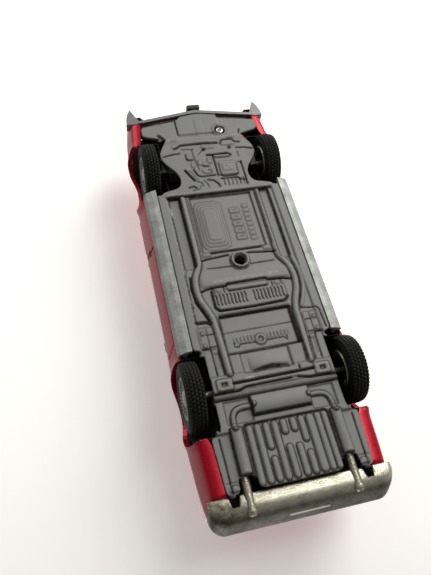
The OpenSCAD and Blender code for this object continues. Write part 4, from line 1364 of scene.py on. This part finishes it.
def cabin_surface(inset=0.0, pitch=0.45, columns=130):
    """Points of the cabin's skin and whether each is on its side rather than its top."""
    points, sideways = [], []
    for y in np.arange(-14.8, 54.6, pitch):
        wide = float(CABIN_HALF(y)) / CABIN_WIDE
        x = np.concatenate([np.linspace(0, 18.4, 90), np.linspace(18.42, 19.25, 60)]) * wide
        top = ROOF_LINE(y - 0.004 * x**2)
        flank = PILLAR_LINE(x / wide)
        z = np.maximum(-larger(-top, -flank, 0.7), CABIN_FOOT)
        x, z = x * (1 - inset / CABIN_WIDE), z - inset * (z > CABIN_FOOT + 0.2)
        run = np.concatenate([[0], np.cumsum(np.hypot(np.diff(x), np.diff(z)))])
        at = np.linspace(run[-1], 0, columns // 2)
        points.append(np.stack([np.interp(at, run, x), np.full(len(at), y), np.interp(at, run, z)], -1))
        sideways.append(np.interp(at, run, (flank < top).astype(float)) > 0.5)
    half, sideways = np.array(points), np.array(sideways)
    other = half[:, -2::-1] * np.array([-1, 1, 1])
    return np.concatenate([half, other], 1), np.concatenate([sideways, sideways[:, -2::-1]], 1)


def window_field(points, sideways):
    """Positive inside a window opening of the cabin skin."""
    x, y, z = points[..., 0], points[..., 1], points[..., 2]
    screen = np.where((y < 1) & ~sideways, -polygon_distance(x, z, rounded(WINDSCREEN)), SOLID)
    rear = np.where((y > 22) & ~sideways, -polygon_distance(x, y, rounded(REAR_GLASS)), SOLID)
    sides = [-polygon_distance(y, z, rounded(pane)) for pane in (SIDE_GLASS, QUARTER_GLASS)]
    return np.maximum.reduce([screen, rear, np.where(sideways, np.maximum(*sides), SOLID)])


def make_cabin():
    """The roof and pillars, with the one-piece window unit inside them."""
    points, sideways = cabin_surface()
    field = window_field(points, sideways)
    layers = {"edge": 0.15 * np.exp(-np.abs(field) / 0.2)}
    cast_skin("body_cabin", points, field, layers, "root", wall=0.9)
    points, _ = cabin_surface(inset=1.0, pitch=0.9, columns=90)
    beyond = np.maximum(points[..., 1] - 46, 22 - points[..., 2])
    vertices, quads, _ = trimmed(points, beyond)
    glass = new_object("window_unit", vertices, quads, GLASS)
    walled(glass, 0.5)
    place(glass, "root", ["window_glazing"])


def make_doors():
    """Both door skins, each with a raised handle and a rounded edge, and their hinges."""
    for side, hand in SIDES:
        t, y = np.meshgrid(np.linspace(0.02, 0.46, 96), np.arange(HINGE[1] - 0.2, 20.8, 0.3))
        x, z = body_surface(t, y)
        inside = polygon_distance(y, z, DOOR)
        handle = box_distance(y, z, 14.2, 17.8, 1.5, 0.45, 0.4)
        x = x + 0.28 * fading(handle, -0.3, 0.15) - 0.3 * np.exp(-(((inside + 0.05) / 0.22) ** 2))
        field = np.maximum(inside, z - 20.9)
        points = np.stack([x * side, y, z], -1)
        if side < 0:
            points, field, inside = points[:, ::-1], field[:, ::-1], inside[:, ::-1]
        layers = {"edge": 0.12 * np.exp(-np.abs(inside) / 0.25)}
        cast_skin(f"door_skin_{hand}", points, field, layers, f"{hand}_door", [f"door_{hand}"])
        make_hinge(side, hand)


def make_hinge(side, hand, around=40):
    """The door's hinge knuckle, with grooves between its leaves, and the pin peened over at both its ends."""
    centre = (side * HINGE[0], HINGE[1])
    heights = np.concatenate([[11.2, 11.35], np.linspace(11.5, 17.4, 40), [17.6, 17.75]])
    radius = np.full(len(heights), 0.82)
    radius[[0, -1]] -= 0.14
    for joint in (12.6, 15.2):
        radius -= 0.12 * np.exp(-(((heights - joint) / 0.14) ** 2))
    layers = {"edge": np.full((around, len(heights)), 0.05)}
    knuckle = spun(f"hinge_knuckle_{hand}", np.stack([radius, heights], 1), PAINT, centre, around, layers)
    place(knuckle, f"{hand}_door")
    foot = [(0.02, 11.3), (0.3, 11.35), (0.42, 11.6), (0.4, 12)]
    head = [(0.4, 17.2), (0.42, 17.5), (0.3, 17.8), (0.02, 17.85)]
    pin = spun(f"hinge_pin_{hand}_peened", resampled(foot + head, 0.2), STEEL, centre, around)
    place(pin, "root", [f"hinge_pin_{hand}"])


def make_seams():
    """Cast-in shut lines of the bonnet and boot, and the crease on each front wing."""
    bonnet = mirrored([(18.4, -14.5), (18.6, -30), (18.4, -49.6), (17.6, -50.4)])
    boot = mirrored([(14.6, 52.4), (17.4, 49), (18.8, 54), (18.6, 58.6), (17.8, 59.6)])
    for name, line in (("bonnet_line", bonnet), ("boot_line", boot)):
        path = resampled(rounded(line, closed=False), 0.8)
        wire(name, [deck_point(x, y, 0.03) for x, y in path], 0.13, SEAM)
    crease_z = 15.2
    for side, hand in SIDES:
        ys = np.arange(-25.5, -13.6, 0.8)
        widths = flank_width(ys, crease_z, np.linspace(0, 0.42, 120))
        wire(f"wing_crease_{hand}", [(side * x, y, crease_z) for x, y in zip(widths, ys)], 0.14, PAINT)


def make_rear_bumper():
    """Plated bumper: one rolled section swept across the car, with its corners drawn in."""
    front_y, middle_z = 56.4, 10.3
    section = rounded([
        (front_y, 6.6), (59.4, 6.2), (62, 8), (63.6, 11.4), (63.6, 13.6), (62.4, 14.4), (62.1, 11), (60.6, 8.7),
        (58.4, 7.7), (front_y, 7.8),
    ], 3)
    ring = np.array(resampled(section + [section[0]], 0.3)[:-1])
    left_end = np.linspace(18, 22.15, 26)
    across = np.concatenate([-left_end[::-1], np.arange(-17.7, 17.8, 0.35), left_end])
    count, ring_size = len(across), len(ring)
    x = np.repeat(across[:, None], ring_size, 1)
    y, z = np.tile(ring[:, 0], (count, 1)), np.tile(ring[:, 1], (count, 1))
    drawn = np.sqrt(1 - np.clip((np.abs(x) - 18.6) / 3.6, 0, 1) ** 2)
    y = front_y + (y - front_y) * (0.42 + 0.58 * drawn)
    z = middle_z + (z - middle_z) * (0.74 + 0.26 * drawn)
    # A notch under each tail box, a rolled line in the middle and a dent at the right
    notch = (np.abs(np.abs(x) - 16.1) < 1) & (y < 58.9) & (z < 9)
    y = np.where(notch, 58.9, y)
    # The rolled line is also painted near white through its layer, a painted highlight
    line = fading(np.abs(x - 0.8), 4.7, 5) * fading(np.abs(z - 9.4), 0.1, 0.36) * (y > 61.9)
    z = z - 0.14 * line
    hollow = np.hypot(x + 19.6, z - 12.3)
    y = y - 0.25 * fading(hollow, 0.2, 0.6) * (y > 59)
    faces = [tuple(quad) for quad in grid_quads(count, ring_size, wrap_columns=True)]
    faces += [tuple(range(ring_size))[::-1], tuple(range((count - 1) * ring_size, count * ring_size))]
    rust = np.clip(smoothstep(-x, 7, 20) * 0.9 + 0.55 * smoothstep(z, 9.6, 12.4), 0, 1)
    # Painted highlight: 1 along the bumper's lower lip, which faces the light under the upturned car, fading to
    # 0 up its face
    shade = fading(z + 0.25 * (y - front_y), 7.3, 9.0)
    layers = {"rust": rust.ravel(), "lip_highlight": shade.ravel(), "edge": line.ravel()}
    points = np.stack([x, y, z], -1).reshape(-1, 3)
    bumper = new_object("rear_bumper_bar", points, faces, NICKEL, layers=layers)
    place(bumper, "root", ["rear_bumper"])


def dark_panel(name, points, wall, flipped=False):
    """A thin near-black panel inside the body, a painted shade."""
    panel = grid_object(name, points, SHADE_BLACK, flipped=flipped)
    walled(panel, wall)
    place(panel, "root")


def make_wheel_wells():
    """Near-black inner walls, a painted shade, that close the wheel arches off from the cabin and the engine
    bay.
    """
    ends = (("front", ARCHES[0], 14.1, 21.2), ("rear", ARCHES[1], 16.15, 21.4))
    for end, (arch_y, arch_z), inner, outer in ends:
        profile = np.array(resampled([(inner, 1.5), (inner, 10.0), (inner + 0.3, 10.3), (outer, 10.3)], 0.4))
        past = math.radians(13)
        a = np.repeat(np.linspace(-past, math.pi + past, 72)[:, None], len(profile), 1)
        x, r = np.tile(profile[:, 0], (len(a), 1)), profile[:, 1]
        r = r + 0.06 * np.cos(a * 40) * (r > 10)
        for side, hand in SIDES:
            points = np.stack([x * side, arch_y + r * np.cos(a), arch_z + r * np.sin(a)], -1)
            dark_panel(f"wheel_well_{end}_{hand}", points, 0.2)


def make_rockers():
    """Near-black ribbed floors over the sills, between the wheel wells, a painted shade."""
    x, y = np.meshgrid(np.linspace(15.2, 20.1, 14), np.arange(-27.7, 22.9, 0.4))
    z = 9.5 + 0.15 * smoothstep(np.abs(np.mod(y, 6.0) - 3.0), 1.6, 2.0)
    for side, hand in SIDES:
        dark_panel(f"rocker_floor_{hand}", np.stack([x * side, y, z], -1), 0.3)


def make_valance():
    """Near-black cross panel inside the nose, a painted shade above the gap between the base and the front
    bumper.
    """
    x, y = np.meshgrid(np.linspace(-17.4, 17.4, 120), np.linspace(-60.2, -54.6, 24))
    z = 9.3 + 0.1 * np.cos(y * 2.6) + 0.0006 * x**2
    dark_panel("front_valance", np.stack([x, y + 0.004 * x**2, z], -1), 0.5, flipped=True)


def make_parcel_shelf():
    """Moulded shelf and boot floor behind the rear seat, ribbed like the rest of the interior."""
    shelf_front = 27.6
    x, y = np.meshgrid(np.linspace(-16.6, 16.6, 90), np.arange(shelf_front, 50.2, 0.4))
    z = 20.4 - 0.012 * (y - shelf_front) ** 1.5 + 0.12 * np.cos(x * 2.4) * (np.abs(x) < 14)
    edge = box_distance(x, y, 0, 38.9, 16.2, 11, 2)
    vertices, quads, _ = trimmed(np.stack([x, y, z], -1), edge)
    shelf = new_object("parcel_shelf", vertices, quads[:, ::-1], DARK)
    walled(shelf, 0.6)
    place(shelf, "root")


def make_rivet():
    """Spun-over head of the lever's pivot, sunk in its recess."""
    profile = [(0.02, 6.1), (0.35, 6.0), (0.5, 5.5), (0.75, 5.25), (1.05, 5.35), (1.2, 5.7), (1.22, 8.5)]
    head = spun("rivet_head", resampled(profile, 0.12), STEEL, LEVER_RIVET, 48, ripple=0.04)
    place(head, "root", ["lever_rivet"])


make_lower_body()
make_cabin()
make_doors()
make_seams()
make_rear_bumper()
make_wheel_wells()
make_parcel_shelf()
make_valance()
make_rockers()
make_rivet()


# ---------------------------------------------------------------- CAD nodes that keep their shape

SHARP = (STEEL, LENS)
KEPT = (
    (STEEL, ["front_axle", "rear_axle"]),
    (DARK, ["front_axle_bracket", "rear_axle_bracket", "headlamp_shaft_clips", "dashboard"]),
    (DARK, ["steering_wheel", "interior_tub"]),
    (CREAM, ["front_seats", "rear_seat"]),
    (BROWN, ["headlamp_lever"]),
    (BRIGHT, ["grille", "front_bumper"]),
    (TIP, ["exhaust_tip_left", "exhaust_tip_right"]),
    (ZINC, ["sill_left", "sill_right"]),
    (WHITE, ["number_plate_front", "number_plate_rear"]),
    (RED_LENS, ["tail_lamp_left", "tail_lamp_right"]),
    (LENS, ["headlamp_lens_left", "headlamp_lens_right"]),
    (PAINT, ["headlamp_unit"]),
)

for finish, node_names in KEPT:
    for node_name in node_names:
        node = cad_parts[node_name]
        node.data.materials.clear()
        node.data.materials.append(finish)
        if finish not in SHARP:
            bevel(node, 0.25)
